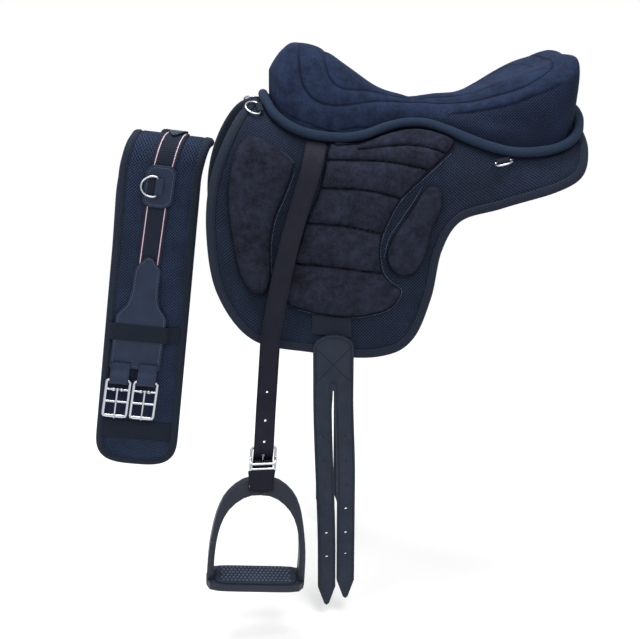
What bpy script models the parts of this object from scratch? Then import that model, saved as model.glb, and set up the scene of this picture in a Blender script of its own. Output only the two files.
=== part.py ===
"""Treeless riding saddle with its girth, in metres, +Z up.

The saddle's front points to -X, its near (left) side to -Y and its far side to +Y. The origin is
the underside of the padded base over the spine, half way along, where the horse's back carries it.

Every padded piece is drawn on one flat pattern of the base: x along the spine and s along the
surface, from the spine out and down to the lower edge of the flap. A height h stands off that
surface. The girth has a pattern of its own, u across it and v along it from the fold.
"""
import math

import bpy
import bmesh
import numpy as np
from mathutils import Matrix, Vector
from mathutils.geometry import delaunay_2d_cdt

# Clearances between pieces
SEAT_GAP = 0.0004
SOFT_GAP = 0.0008

# Section of the padded base across the spine, ahead of the seat's broad part
SPINE_CREST = 0.018
BACK_RADIUS = 0.120
SPINE_SLOPE = math.radians(14)
FLAP_SLOPE = math.radians(80)
# The same section under the broad rear of the seat
REAR_CREST = 0.045
REAR_RADIUS = 0.150
REAR_SPINE_SLOPE = math.radians(10)
SKIRT_SLOPE = math.radians(72)
REAR_SECTION_START = 0.052
REAR_SECTION_LENGTH = 0.190
# Lift of the spine towards the pommel
BASE_THICKNESS = 0.012
POMMEL_RISE_START = -0.050
POMMEL_RISE_LENGTH = 0.170
POMMEL_RISE = 0.030
POMMEL_RISE_EASE = 0.25

# Plan of the base on its pattern
SPINE_HALF_WIDTH = 0.015
BASE_FRONT = -0.230
BASE_REAR = 0.268
FLAP_FRONT = -0.304
FLAP_REAR = 0.050
FLAP_DEPTH = 0.412
SKIRT_DEPTH = 0.203
BASE_EDGE = 0.0035
BASE_STATION = 0.018

# Panels below the base, either side of the channel for the spine
PANEL_THICKNESS = 0.022
PANEL_FRONT = -0.205
PANEL_REAR = 0.235
PANEL_TOP = 0.036
PANEL_DEPTH = 0.168

# Cushions on the flap
KNEE_CROWN = 0.018
THIGH_CROWN = 0.011
CALF_CROWN = 0.012
CHANNEL_DEPTH = 0.0055
CHANNEL_HALF_WIDTH = 0.008

# Seat
SEAT_FRONT = -0.213
SEAT_BOTTOM = 0.0050
SEAT_INSET = 0.0014
PIPING_RADIUS = 0.0075
PIPING_RISE = 0.0008
PIPING_LIFT = 0.0026
POMMEL_HEIGHT = 0.120
WAIST_HEIGHT = 0.038
CANTLE_HEIGHT = 0.103
CANTLE_LEAN = 0.10
CANTLE_DISH = 0.012

# Stirrup leather
LEATHER_WIDTH = 0.030
LEATHER_THICKNESS = 0.0036
LEATHER_RISE = 0.0150
LEATHER_TOP = 0.0950
LEATHER_TOP_RISE = 0.0049
LEATHER_BAR = 0.6202
LEATHER_TOP_X = -0.137
LEATHER_FLAP_X = -0.214
LEATHER_BAR_X = -0.232
LEATHER_LOOP = 0.0097
LEATHER_TAIL = 0.014
LEATHER_WEAVE = 0.0030
RUN_UP_BAR = 0.172
RUN_UP_X = -0.151
RUN_UP_LOOP = 0.497
RUN_UP_STEP = 0.0046
BUCKLE_ABOVE_BAR = 0.0262
LEATHER_BUCKLE_BAR = 0.0020

# Stirrup
STIRRUP_WIDTH = 0.152
STIRRUP_HEIGHT = 0.181
STIRRUP_BAR = 0.0112
STIRRUP_LEG = 0.0105
STIRRUP_DEPTH_TOP = 0.009
STIRRUP_DEPTH_LEG = 0.032
STIRRUP_ROLL = math.radians(4.2)
TREAD_DEPTH = 0.060
TREAD_THICKNESS = 0.011
TREAD_PAD_THICKNESS = 0.003
RUN_UP_TILT = math.radians(24)

# Billet straps
BILLET_X = -0.120
FAR_BILLET_SHIFT = 0.024
BILLET_WIDTH = 0.062
BILLET_THICKNESS = 0.0045
BILLET_TOP = -0.300
BILLET_HINGE = -0.292
BILLET_NOTCH = -0.390
BILLET_SLIT = 0.005
BILLET_TIPS = (-0.766, -0.755)
BILLET_TAPER = 0.034
BILLET_HOLE_TOP = -0.465
BILLET_HOLE_PITCH = 0.0425
BILLET_HOLES = 6
BILLET_HOLE_RADIUS = 0.0024
WEB_WIDTH = 0.060
WEB_THICKNESS = 0.0022

# Dees
DEE_WIRE = 0.0016
DEE_WIDTH = 0.030
DEE_REACH = 0.020
DEE_CLEAR = 0.0001
FRONT_DEE = (-0.2215, 0.047)
FRONT_DEE_TURN = math.radians(-14)
REAR_DEE = (0.140, 0.1335)
REAR_DEE_LIFT = math.radians(54)
TAB_THICKNESS = 0.0014
TAB_WIDTH = 0.020

# Girth
GIRTH_TOP = (-0.366, 0.0, -0.015)
GIRTH_LEAN = math.radians(7.5)
GIRTH_SHEAR = 0.016
GIRTH_FAR_SHIFT = -0.008
GIRTH_STRAP_START = 0.004
GIRTH_STRAP_DRIFT = -0.046
GIRTH_FOLD_RADIUS = 0.026
GIRTH_HALF_WIDTH = 0.059
GIRTH_END_HALF_WIDTH = 0.066
GIRTH_NEAR_LENGTH = 0.550
GIRTH_FAR_LENGTH = 0.330
GIRTH_CORNER = 0.055
GIRTH_THICKNESS = 0.012
GIRTH_WEB_WIDTH = 0.038
GIRTH_WEB_THICKNESS = 0.0020
GIRTH_LEATHER_THICKNESS = 0.0032
GIRTH_TIP = 0.191
GIRTH_CHAPE = 0.2080
GIRTH_CHAPE_WIDTH = 0.0300
GIRTH_KEEPER_THICKNESS = 0.0014
KEEPER_ENDS = (-0.0590, 0.0530)
GIRTH_BUCKLE_WIDTH = 0.041
GIRTH_BUCKLE_HEIGHT = 0.066
GIRTH_BUCKLE_PITCH = 0.0435
GIRTH_BUCKLE_THICKNESS = 0.0040

# Colours as sRGB hex, with roughness and metallic
FINISHES = {
    "mesh": ("1E2634", 0.85, 0.0),
    "suede": ("262832", 0.95, 0.0),
    "seat suede": ("1E253A", 0.92, 0.0),
    "piping": ("222A3C", 0.80, 0.0),
    "leather": ("24262E", 0.65, 0.0),
    "girth leather": ("27303F", 0.50, 0.0),
    "webbing": ("20242C", 0.85, 0.0),
    "elastic": ("2A2F3C", 0.80, 0.0),
    "polymer": ("15181D", 0.45, 0.0),
    "rubber": ("3A414F", 0.80, 0.0),
    "steel": ("C9CED6", 0.25, 1.0),
    "stiffener": ("3A3A3A", 0.60, 0.0),
}


def clear_scene():
    """Remove whatever the new file holds."""
    for thing in list(bpy.data.objects):
        bpy.data.objects.remove(thing, do_unlink=True)


def linear(channel):
    """One sRGB channel (0 to 1) as a linear value."""
    return channel / 12.92 if channel <= 0.04045 else ((channel + 0.055) / 1.055) ** 2.4


def finish(name, kind):
    """A Principled material of its own for one sub-part."""
    colour, roughness, metallic = FINISHES[kind]
    made = bpy.data.materials.new(name)
    made.use_nodes = True
    shader = made.node_tree.nodes["Principled BSDF"]
    rgb = [linear(int(colour[k:k + 2], 16) / 255) for k in (0, 2, 4)]
    shader.inputs["Base Color"].default_value = (*rgb, 1.0)
    shader.inputs["Roughness"].default_value = roughness
    shader.inputs["Metallic"].default_value = metallic
    made.diffuse_color = (*rgb, 1.0)
    return made


def build_mesh(name, kind, points, faces, origin=(0.0, 0.0, 0.0)):
    """One closed mesh object from world points, with its origin where it turns."""
    mesh = bpy.data.meshes.new(name)
    mesh.from_pydata([tuple(np.asarray(p) - np.asarray(origin)) for p in points], [], faces)
    work = bmesh.new()
    work.from_mesh(mesh)
    bmesh.ops.recalc_face_normals(work, faces=work.faces)
    work.to_mesh(mesh)
    work.free()
    mesh.shade_smooth()
    mesh.set_sharp_from_angle(angle=math.radians(40))
    mesh.materials.append(finish(name, kind))
    made = bpy.data.objects.new(name, mesh)
    bpy.context.collection.objects.link(made)
    made.location = origin
    return made


def section(s, crest, radius, start, end):
    """Offset out and drop down at arc length s: a crest arc, a larger arc, then a straight."""
    crest_radius = crest / start
    first = np.minimum(s, crest) / crest_radius
    turn = np.clip((s - crest) / radius, 0.0, end - start) + start
    straight = np.maximum(s - crest - radius * (end - start), 0.0)
    out = crest_radius * np.sin(first) + straight * math.cos(end)
    out = out + radius * (np.sin(turn) - math.sin(start))
    drop = crest_radius * (1 - np.cos(first)) + straight * math.sin(end)
    drop = drop + radius * (math.cos(start) - np.cos(turn))
    return out, drop


def base_section(x, s):
    """The base's section at x: the front one eases into the broad rear one."""
    t = np.clip((x - REAR_SECTION_START) / REAR_SECTION_LENGTH, 0.0, 1.0)
    share = t * t * (3 - 2 * t)
    front = section(s, SPINE_CREST, BACK_RADIUS, SPINE_SLOPE, FLAP_SLOPE)
    rear = section(s, REAR_CREST, REAR_RADIUS, REAR_SPINE_SLOPE, SKIRT_SLOPE)
    return front[0] * (1 - share) + rear[0] * share, front[1] * (1 - share) + rear[1] * share


def spine_height(x):
    """Height of the base's top over the spine."""
    f = np.clip((POMMEL_RISE_START - x) / POMMEL_RISE_LENGTH, 0.0, 1.6)
    return BASE_THICKNESS + POMMEL_RISE * f ** 2 / (1 + POMMEL_RISE_EASE * f ** 2)


def on_base(x, s, h):
    """World points at pattern places x, s (near side positive s) and height h off the base."""
    x, s, h = (np.asarray(v, float) for v in np.broadcast_arrays(x, s, h))
    side = np.where(s < 0, 1.0, -1.0)
    arc = np.abs(s)
    step = 1e-4
    out_a, drop_a = base_section(x, np.maximum(arc - step, 0.0))
    out_b, drop_b = base_section(x, arc + step)
    run, fall = out_b - out_a, drop_b - drop_a
    size = np.hypot(run, fall)
    out, drop = base_section(x, arc)
    run, fall = run / size, fall / size
    return np.stack([x, side * (out + h * fall), spine_height(x) - drop + h * run], -1)


def base_place(side):
    """Placement on the near (+1) or far (-1) half of the base."""
    return lambda u, v, h: on_base(u, side * v, h)


def resample(points, closed, step):
    """Even points along a polyline."""
    line = np.vstack([points, points[:1]]) if closed else points
    along = np.concatenate([[0.0], np.cumsum(np.linalg.norm(np.diff(line, axis=0), axis=1))])
    count = max(3, int(round(along[-1] / step)))
    at = np.linspace(0.0, along[-1], count + 1)
    even = np.stack([np.interp(at, along, line[:, k]) for k in range(line.shape[1])], -1)
    return even[:-1] if closed else even


def curve_through(points, closed, step):
    """A smooth curve through a few points, cut into even steps."""
    pts = np.array(points, float)
    n = len(pts)
    t = np.linspace(0.0, 1.0, 16, endpoint=False)[:, None]
    spans = []
    for k in range(n if closed else n - 1):
        ids = [k - 1, k, k + 1, k + 2]
        a, b, c, d = (pts[i % n] if closed else pts[min(max(i, 0), n - 1)] for i in ids)
        spans.append(0.5 * (2 * b + (c - a) * t + (2 * a - 5 * b + 4 * c - d) * t ** 2
                            + (3 * b - a - 3 * c + d) * t ** 3))
    if not closed:
        spans.append(pts[-1:])
    return resample(np.vstack(spans), closed, step)


def rounded_box(left, right, low, high, radius, step, corner=5):
    """A rectangle with quarter-circle corners of a few points on a pattern."""
    corners = []
    for cu, cv, start in ((right - radius, high - radius, 0), (left + radius, high - radius, 90),
                          (left + radius, low + radius, 180), (right - radius, low + radius, 270)):
        for turn in np.radians(np.linspace(start, start + 90, corner)):
            corners.append((cu + radius * math.cos(turn), cv + radius * math.sin(turn)))
    return refine(np.array(corners), step)


def refine(points, step):
    """Split the long sides of a closed outline and keep its corners."""
    fine = []
    for a, b in zip(points, np.roll(points, -1, axis=0)):
        parts = max(1, int(math.ceil(np.linalg.norm(b - a) / step - 1e-6)))
        fine.extend(a + (b - a) * k / parts for k in range(parts))
    return np.array(fine)


def inside(points, loop):
    """True for each point inside a closed loop."""
    a, b = loop, np.roll(loop, -1, axis=0)
    u, v = points[:, :1], points[:, 1:]
    spans = (a[:, 1] > v) != (b[:, 1] > v)
    rise = np.where(b[:, 1] == a[:, 1], 1e-12, b[:, 1] - a[:, 1])
    cross = u < (b[:, 0] - a[:, 0]) * (v - a[:, 1]) / rise + a[:, 0]
    return (spans & cross).sum(axis=1) % 2 == 1


def edge_distance(points, loops):
    """Distance of each point to the nearest of the outlines."""
    best = np.full(len(points), np.inf)
    for loop in loops:
        a, b = loop, np.roll(loop, -1, axis=0)
        run = b - a
        t = ((points[:, None] - a) * run).sum(-1) / np.maximum((run ** 2).sum(-1), 1e-18)
        near = a + np.clip(t, 0.0, 1.0)[..., None] * run
        best = np.minimum(best, np.linalg.norm(points[:, None] - near, axis=-1).min(axis=1))
    return best


def inset(loops, distance):
    """Points a fixed distance inside the outlines."""
    found = []
    for loop in loops:
        run = np.roll(loop, -1, axis=0) - np.roll(loop, 1, axis=0)
        run /= np.linalg.norm(run, axis=1)[:, None]
        for way in (1, -1):
            moved = loop + way * distance * np.stack([-run[:, 1], run[:, 0]], -1)
            keep = inside(moved, loops[0])
            for hole in loops[1:]:
                keep &= ~inside(moved, hole)
            keep &= edge_distance(moved, loops) > 0.93 * distance
            found.append(moved[keep])
    return np.vstack(found)


def row_points(loops, rows, pitch, margin):
    """Points along rows of constant v inside the outlines, at multiples of the pitch."""
    low, high = loops[0][:, 0].min(), loops[0][:, 0].max()
    u = np.arange(math.ceil(low / pitch), math.floor(high / pitch) + 1) * pitch
    points = np.array([(a, v) for v in rows for a in u]).reshape(-1, 2)
    if not len(points):
        return points
    keep = inside(points, loops[0]) & (edge_distance(points, loops) > margin)
    for hole in loops[1:]:
        keep &= ~inside(points, hole)
    return points[keep]


def thin(points, least):
    """Drop points that crowd an earlier one."""
    kept = []
    for p in points:
        if not kept or np.min(np.linalg.norm(np.array(kept) - p, axis=1)) > least:
            kept.append(p)
    return np.array(kept).reshape(-1, 2)


def row_ties(loops, rows):
    """Pairs of outline points that a row joins straight across the piece, round its holes."""
    every = np.vstack(loops)
    pairs = []
    for row in rows:
        on = [k for k in np.argsort(every[:, 0]) if abs(every[k, 1] - row) < 1e-7]
        for a, b in zip(on, on[1:]):
            middle = (every[a] + every[b])[None, :] / 2
            clear = edge_distance(middle, loops)[0] > 0.0005
            if clear and inside(middle, loops[0])[0] and not any(inside(middle, h)[0] for h in loops[1:]):
                pairs.append((int(a), int(b)))
    return pairs


def triangulate(loops, inner, ties=()):
    """Triangles over an outline with holes: places, triangles and where each outline point went."""
    points = [Vector(p) for loop in loops for p in loop] + [Vector(p) for p in inner]
    edges, start = list(ties), len(loops[0])
    for hole in loops[1:]:
        n = len(hole)
        edges.extend((start + k, start + (k + 1) % n) for k in range(n))
        start += n
    outer = list(range(len(loops[0])))
    places, _, faces, source, _, _ = delaunay_2d_cdt(points, edges, [outer], 1, 1e-7)
    places = np.array([tuple(p) for p in places])
    tris = np.array([tuple(f) for f in faces])
    centres = places[tris].mean(axis=1)
    keep = np.ones(len(tris), bool)
    for hole in loops[1:]:
        keep &= ~inside(centres, hole)
    tris = tris[keep]
    went = {}
    for k, came in enumerate(source):
        for i in came:
            went[i] = k
    used = np.unique(tris)
    new = np.full(len(places), -1)
    new[used] = np.arange(len(used))
    rim = [[new[went[i]] for i in range(first, first + len(loop))]
           for first, loop in zip(np.cumsum([0] + [len(l) for l in loops[:-1]]), loops)]
    return places[used], new[tris], rim


def sheet(name, kind, loops, place, top, bottom, rows=(), pitch=0.03, rings=(), extra=None,
          under=None, under_extra=None, least=0.002, origin=(0.0, 0.0, 0.0), folds=()):
    """A closed sheet over an outline with holes.

    top and bottom give the two heights from (u, v, distance to the outline). Rows, rings and
    extra points shape the top; under and under_extra shape the bottom. Folds are the v at which
    the piece bends, so an edge runs straight across it there.
    """
    loops = [np.asarray(loop, float) for loop in loops]
    margin = max(rings, default=0.0) + 0.4 * pitch * 0.5
    parts = [inset(loops, d) for d in rings]
    if extra is not None:
        spots = np.asarray(extra, float)
        spots = spots[inside(spots, loops[0]) & (edge_distance(spots, loops) > 0.002)]
        parts.insert(0, spots)
    parts.append(row_points(loops, rows, pitch, margin))
    upper = thin(np.vstack(parts), least)
    lower = row_points(loops, rows if under is None else under, pitch, 0.3 * pitch)
    if under_extra is not None:
        spots = np.asarray(under_extra, float)
        spots = spots[inside(spots, loops[0]) & (edge_distance(spots, loops) > 0.004)]
        lower = thin(np.vstack([spots, lower]), 0.006)
    ties = row_ties(loops, folds)
    top_at, top_tris, top_rim = triangulate(loops, upper, ties)
    low_at, low_tris, low_rim = triangulate(loops, lower, ties)
    top_points = place(top_at[:, 0], top_at[:, 1], top(top_at[:, 0], top_at[:, 1],
                                                       edge_distance(top_at, loops)))
    low_points = place(low_at[:, 0], low_at[:, 1], bottom(low_at[:, 0], low_at[:, 1],
                                                          edge_distance(low_at, loops)))
    shift = len(top_points)
    faces = [tuple(int(i) for i in t) for t in top_tris]
    faces += [tuple(int(i) + shift for i in t[::-1]) for t in low_tris]
    for upper_rim, lower_rim in zip(top_rim, low_rim):
        n = len(upper_rim)
        for k in range(n):
            a, b = int(upper_rim[k]), int(upper_rim[(k + 1) % n])
            c, d = int(lower_rim[(k + 1) % n]) + shift, int(lower_rim[k]) + shift
            faces.append((a, b, c, d))
    return build_mesh(name, kind, np.vstack([top_points, low_points]), faces, origin)


def level(value):
    """A constant height."""
    return lambda u, v, d: np.full(len(u), value)


def crowned(edge, crown, width, floor=0.0):
    """A height that rises from an edge to a crown as a quarter circle."""
    def height(u, v, d):
        t = np.clip(d / width, 0.0, 1.0)
        return floor + edge + (crown - edge) * np.sqrt(1 - (1 - t) ** 2)
    return height


def wire(name, kind, path, radius, closed=True, sides=2, origin=(0.0, 0.0, 0.0)):
    """A round bar along a path, as a curve object."""
    curve = bpy.data.curves.new(name, "CURVE")
    curve.dimensions = "3D"
    curve.bevel_depth = radius
    curve.bevel_resolution = sides
    curve.use_fill_caps = True
    spline = curve.splines.new("POLY")
    spline.points.add(len(path) - 1)
    for point, at in zip(spline.points, np.asarray(path) - np.asarray(origin)):
        point.co = (*at, 1.0)
    spline.use_cyclic_u = closed
    spline.use_smooth = True
    curve.materials.append(finish(name, kind))
    made = bpy.data.objects.new(name, curve)
    bpy.context.collection.objects.link(made)
    made.location = origin
    return made


def sided(side, name):
    """The node name of a piece on the near (+1) or far (-1) side."""
    return ("near_" if side > 0 else "far_") + name


STATIONS = BASE_STATION * np.arange(1, 10)
FLAP_ROWS = np.concatenate([STATIONS, [0.225, 0.290, 0.355]])
FLARE = np.array([(x, s) for s in np.append(STATIONS, 0.180)
                  for x in np.arange(REAR_SECTION_START - 0.018, BASE_REAR, 0.018)])


def base_outline():
    """The free edge of one half of the base, closed along the spine."""
    free = [(BASE_FRONT, SPINE_HALF_WIDTH + SEAT_GAP), (-0.262, 0.085), (-0.296, 0.180),
            (FLAP_FRONT, 0.265), (-0.290, 0.350), (-0.240, FLAP_DEPTH - 0.004),
            (-0.150, FLAP_DEPTH), (-0.045, FLAP_DEPTH), (0.004, 0.388), (0.033, 0.325),
            (FLAP_REAR, 0.252), (0.080, SKIRT_DEPTH + 0.006), (0.140, SKIRT_DEPTH),
            (0.210, SKIRT_DEPTH - 0.006), (0.252, 0.175), (0.267, 0.130), (0.268, 0.080),
            (BASE_REAR, SPINE_HALF_WIDTH + SEAT_GAP)]
    edge = curve_through(free, False, 0.020)
    spine = np.stack([np.linspace(BASE_REAR, BASE_FRONT, 20)[1:-1],
                      np.full(18, SPINE_HALF_WIDTH + SEAT_GAP)], -1)
    return np.vstack([edge, spine])


def make_base():
    """The padded base: two flaps and the strip that joins them over the spine."""
    outline = base_outline()
    for side in (1, -1):
        sheet(sided(side, "base_pad"), "mesh", [outline], base_place(side),
              crowned(-BASE_EDGE, 0.0, BASE_EDGE),
              lambda u, v, d: -BASE_THICKNESS + BASE_EDGE * (1 - np.clip(d / BASE_EDGE, 0, 1)),
              rows=FLAP_ROWS, pitch=0.040, rings=(BASE_EDGE,), extra=FLARE, under_extra=FLARE,
              least=0.003)
    half = SPINE_HALF_WIDTH
    strip = rounded_box(BASE_FRONT, BASE_REAR, -half, half, 0.006, 0.030)
    sheet("spine_bridge", "mesh", [strip], on_base, level(0.0), level(-BASE_THICKNESS),
          rows=(0.0,), pitch=0.030)
    panel = curve_through([(PANEL_FRONT, 0.050), (PANEL_FRONT - 0.004, 0.100),
                           (PANEL_FRONT + 0.010, PANEL_DEPTH - 0.012), (-0.120, PANEL_DEPTH),
                           (0.060, PANEL_DEPTH), (PANEL_REAR - 0.040, PANEL_DEPTH - 0.004),
                           (PANEL_REAR, 0.120), (PANEL_REAR - 0.010, 0.055),
                           (PANEL_REAR - 0.050, PANEL_TOP), (0.060, PANEL_TOP),
                           (-0.120, PANEL_TOP), (PANEL_FRONT + 0.020, PANEL_TOP + 0.002)],
                          True, 0.028)
    under = -BASE_THICKNESS - SOFT_GAP
    for side in (1, -1):
        sheet(sided(side, "panel"), "mesh", [panel], base_place(side), level(under),
              lambda u, v, d: under - 0.004 - (PANEL_THICKNESS - 0.004)
              * np.sqrt(1 - (1 - np.clip(d / 0.030, 0, 1)) ** 2),
              rows=STATIONS, pitch=0.050, under=STATIONS, extra=FLARE, under_extra=FLARE,
              rings=(0.008,), least=0.008)


def channel_line(points):
    """A quilting line as even points on the pattern."""
    return curve_through(points, False, 0.014)


THIGH_CHANNELS = (
    ((-0.075, 0.100), (0.010, 0.095), (0.070, 0.112)),
    ((-0.140, 0.121), (-0.047, 0.118), (0.040, 0.134)),
    ((-0.150, 0.163), (-0.071, 0.159), (0.000, 0.176)),
    ((-0.170, 0.219), (-0.102, 0.214), (-0.035, 0.226)),
    ((-0.190, 0.282), (-0.117, 0.277), (-0.035, 0.285)),
)


def seat_half_width(x):
    """Arc length from the spine to the seat's piping at x."""
    plan = np.array([(-0.213, 0.012), (-0.208, 0.036), (-0.198, 0.060), (-0.176, 0.077),
                     (-0.144, 0.086), (-0.102, 0.084), (-0.064, 0.076), (-0.031, 0.062),
                     (0.009, 0.052), (0.042, 0.058), (0.074, 0.076), (0.107, 0.097),
                     (0.133, 0.113), (0.160, 0.126), (0.197, 0.134), (0.228, 0.129),
                     (0.250, 0.111), (0.262, 0.080), (0.268, 0.040), (0.269, 0.010)])
    fine = curve_through(plan, False, 0.004)
    return np.interp(x, fine[:, 0], fine[:, 1])


def seat_reach(x, inward):
    """Arc length from the spine to a line that runs a fixed distance inside the piping."""
    xs = np.linspace(SEAT_FRONT + 0.0005, BASE_REAR + 0.0005, 300)
    s = seat_half_width(xs)
    slope = np.gradient(s, xs)
    size = np.hypot(1.0, slope)
    moved_x = xs + inward * slope / size
    moved_s = s - inward / size
    order = np.argsort(moved_x)
    return np.interp(x, moved_x[order], moved_s[order])


def make_flap_cushions():
    """Knee roll, quilted thigh panel and calf block on each flap."""
    knee = curve_through([(-0.240, 0.106), (-0.214, 0.108), (-0.176, 0.129), (-0.176, 0.146),
                          (-0.190, 0.185), (-0.204, 0.220), (-0.211, 0.262), (-0.211, 0.303),
                          (-0.220, 0.333), (-0.240, 0.334), (-0.258, 0.308), (-0.270, 0.240),
                          (-0.271, 0.184), (-0.259, 0.132)], True, 0.015)
    seat_edge = [(x, seat_half_width(x) + PIPING_RADIUS + 0.004)
                 for x in (0.070, 0.035, 0.0, -0.035, -0.070, -0.105)]
    thigh_side = [(-0.119, 0.098), (-0.135, 0.163), (-0.158, 0.222), (-0.176, 0.282),
                  (-0.188, 0.335), (-0.170, 0.347), (-0.120, 0.351), (-0.070, 0.348),
                  (-0.030, 0.336), (-0.014, 0.313), (-0.030, 0.299), (-0.043, 0.280),
                  (-0.046, 0.245), (-0.036, 0.212), (-0.012, 0.171), (0.030, 0.133),
                  (0.062, 0.104)]
    thigh = curve_through(thigh_side + seat_edge, True, 0.016)
    calf = curve_through([(0.037, 0.154), (0.050, 0.168), (0.046, 0.195), (0.034, 0.219),
                          (0.026, 0.250), (0.010, 0.282), (-0.012, 0.289), (-0.029, 0.278),
                          (-0.035, 0.258), (-0.028, 0.234), (-0.010, 0.207), (0.010, 0.178),
                          (0.022, 0.160)], True, 0.015)
    lines = [channel_line(points) for points in THIGH_CHANNELS]
    beside = []
    for line in lines:
        for shift in (-CHANNEL_HALF_WIDTH, 0.0, CHANNEL_HALF_WIDTH):
            beside.append(line + np.array([0.0, shift]))
    spots = np.vstack(beside)

    def quilted(u, v, d):
        rise = crowned(0.003, THIGH_CROWN, 0.016)(u, v, d)
        away = edge_distance(np.stack([u, v], -1), [np.vstack([l, l[::-1]]) for l in lines])
        dip = 1 - np.clip(away / CHANNEL_HALF_WIDTH, 0.0, 1.0)
        return np.maximum(rise - CHANNEL_DEPTH * dip, 0.0025) + SOFT_GAP

    for side in (1, -1):
        place = base_place(side)
        sheet(sided(side, "knee_roll"), "suede", [knee], place,
              crowned(0.003, KNEE_CROWN, 0.026, SOFT_GAP), level(SOFT_GAP),
              rows=(0.15, 0.19, 0.23, 0.27, 0.30), pitch=0.022, rings=(0.003, 0.012),
              under=STATIONS, least=0.006)
        sheet(sided(side, "thigh_panel"), "suede", [thigh], place, quilted, level(SOFT_GAP),
              rows=(), pitch=0.030, rings=(0.004,), extra=spots,
              under=np.append(STATIONS, (0.25, 0.30)), under_extra=FLARE, least=0.0065)
        sheet(sided(side, "calf_block"), "suede", [calf], place,
              crowned(0.003, CALF_CROWN, 0.020, SOFT_GAP), level(SOFT_GAP),
              rows=(0.18, 0.21, 0.24, 0.265), pitch=0.018, rings=(0.003, 0.010),
              under=STATIONS, least=0.006)


def seat_profile(x):
    """Height of the seat's rim line over the origin, at x."""
    line = np.array([(-0.213, 0.060), (-0.206, 0.075), (-0.196, 0.093), (-0.182, 0.110),
                     (-0.163, POMMEL_HEIGHT), (-0.123, 0.111), (-0.083, 0.084),
                     (-0.039, 0.054), (0.0, WAIST_HEIGHT + 0.003), (0.050, WAIST_HEIGHT),
                     (0.095, WAIST_HEIGHT + 0.004), (0.126, 0.055), (0.162, 0.073),
                     (0.202, 0.091), (0.240, CANTLE_HEIGHT), (0.256, 0.098), (0.264, 0.088),
                     (0.269, 0.068)])
    fine = curve_through(line, False, 0.004)
    return np.interp(x, fine[:, 0], fine[:, 1])


def ease(x, start, end):
    """A smooth 0 to 1 between two places."""
    t = np.clip((x - start) / (end - start), 0.0, 1.0)
    return t * t * (3 - 2 * t)


def seat_section(x):
    """The closed section of the seat at x: underside on the base, walls and crowned top."""
    reach = float(seat_reach(x, PIPING_RADIUS + SEAT_INSET))
    share = np.linspace(-1.0, 1.0, 13)
    arcs = reach * (0.7 * share + 0.3 * share ** 3)
    under = on_base(x, arcs, SEAT_BOTTOM)
    edge = on_base(x, reach, SEAT_BOTTOM)
    half, low = abs(edge[1]), edge[2]
    rear = ease(x, 0.05, 0.20)
    power = 0.86 * (1 - rear) + 0.42 * rear
    turn = np.radians(np.linspace(0, 180, 15)[1:-1])
    across = half * np.sign(np.cos(turn)) * np.abs(np.cos(turn)) ** power
    rise = np.sin(turn) ** power
    peak = seat_profile(x)
    dish = CANTLE_DISH * rear * (1 - ease(x, 0.235, 0.262))
    top = low + (peak - low) * rise - dish * np.clip(1 - (across / half / 0.75) ** 2, 0.0, 1.0)
    lean = CANTLE_LEAN * ease(x, 0.12, 0.26)
    over = np.stack([x + lean * (top - low), across, top], -1)
    return np.vstack([under[::-1], over])


def make_seat():
    """Seat cushion, the piping round it, the stiffener in its pommel and its fastening tapes."""
    front = SEAT_FRONT + PIPING_RADIUS + SEAT_INSET + 0.0006
    rear = BASE_REAR - PIPING_RADIUS - SEAT_INSET + 0.0004
    xs = np.concatenate([front + 0.004 * np.array([0, 1, 3, 6]), np.linspace(-0.158, 0.226, 17),
                         rear - np.array([0.022, 0.013, 0.006, 0.0022, 0.0])])
    rings = [seat_section(x) for x in xs]
    n = len(rings[0])
    faces = []
    for k in range(len(rings) - 1):
        for j in range(n):
            a, b = k * n + j, k * n + (j + 1) % n
            faces.append((a, b, b + n, a + n))
    faces.append(tuple(range(n))[::-1])
    last = (len(rings) - 1) * n
    faces.append(tuple(range(last, last + n)))
    build_mesh("seat_cushion", "seat suede", np.vstack(rings), faces)

    plan_x = np.array([-0.2125, -0.209, -0.199, -0.178, -0.150, -0.120, -0.090, -0.060, -0.030,
                       0.0, 0.030, 0.060, 0.090, 0.120, 0.150, 0.180, 0.210, 0.235, 0.252,
                       0.262, 0.267, 0.2688])
    near = np.stack([plan_x, seat_half_width(plan_x)], -1)
    far = near[::-1] * np.array([1.0, -1.0])
    plan = np.vstack([near, far])
    loop = resample(plan, True, 0.017)
    over_web = 1 - ease(np.abs(loop[:, 0] - LEATHER_TOP_X), 0.015, 0.045)
    path = on_base(loop[:, 0], loop[:, 1], PIPING_RADIUS + PIPING_RISE + PIPING_LIFT * over_web)
    wire("seat_piping", "piping", path, PIPING_RADIUS)

    arch = rounded_box(-0.194, -0.155, -0.058, 0.058, 0.015, 0.010)
    rows = 0.5 * BASE_STATION * np.arange(-6, 7)
    sheet("pommel_stiffener", "stiffener", [arch], on_base, level(0.0033), level(SOFT_GAP),
          rows=rows, pitch=0.020)
    tapes = (("base_loop_tape", 0.0018, 0.0006), ("seat_hook_tape", 0.0035, 0.0024))
    half = 1.5 * SPINE_CREST
    strip = rounded_box(-0.100, 0.215, -half, half, 0.006, 0.030, 3)
    strip = refine_rows(strip, 0.5 * BASE_STATION * np.arange(-2, 3), 0.030)
    for name, high, low in tapes:
        rows = 0.5 * BASE_STATION * np.arange(-2, 3)
        sheet(name, "webbing", [strip], on_base, level(high), level(low), rows=rows, pitch=0.028,
              folds=rows)


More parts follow.
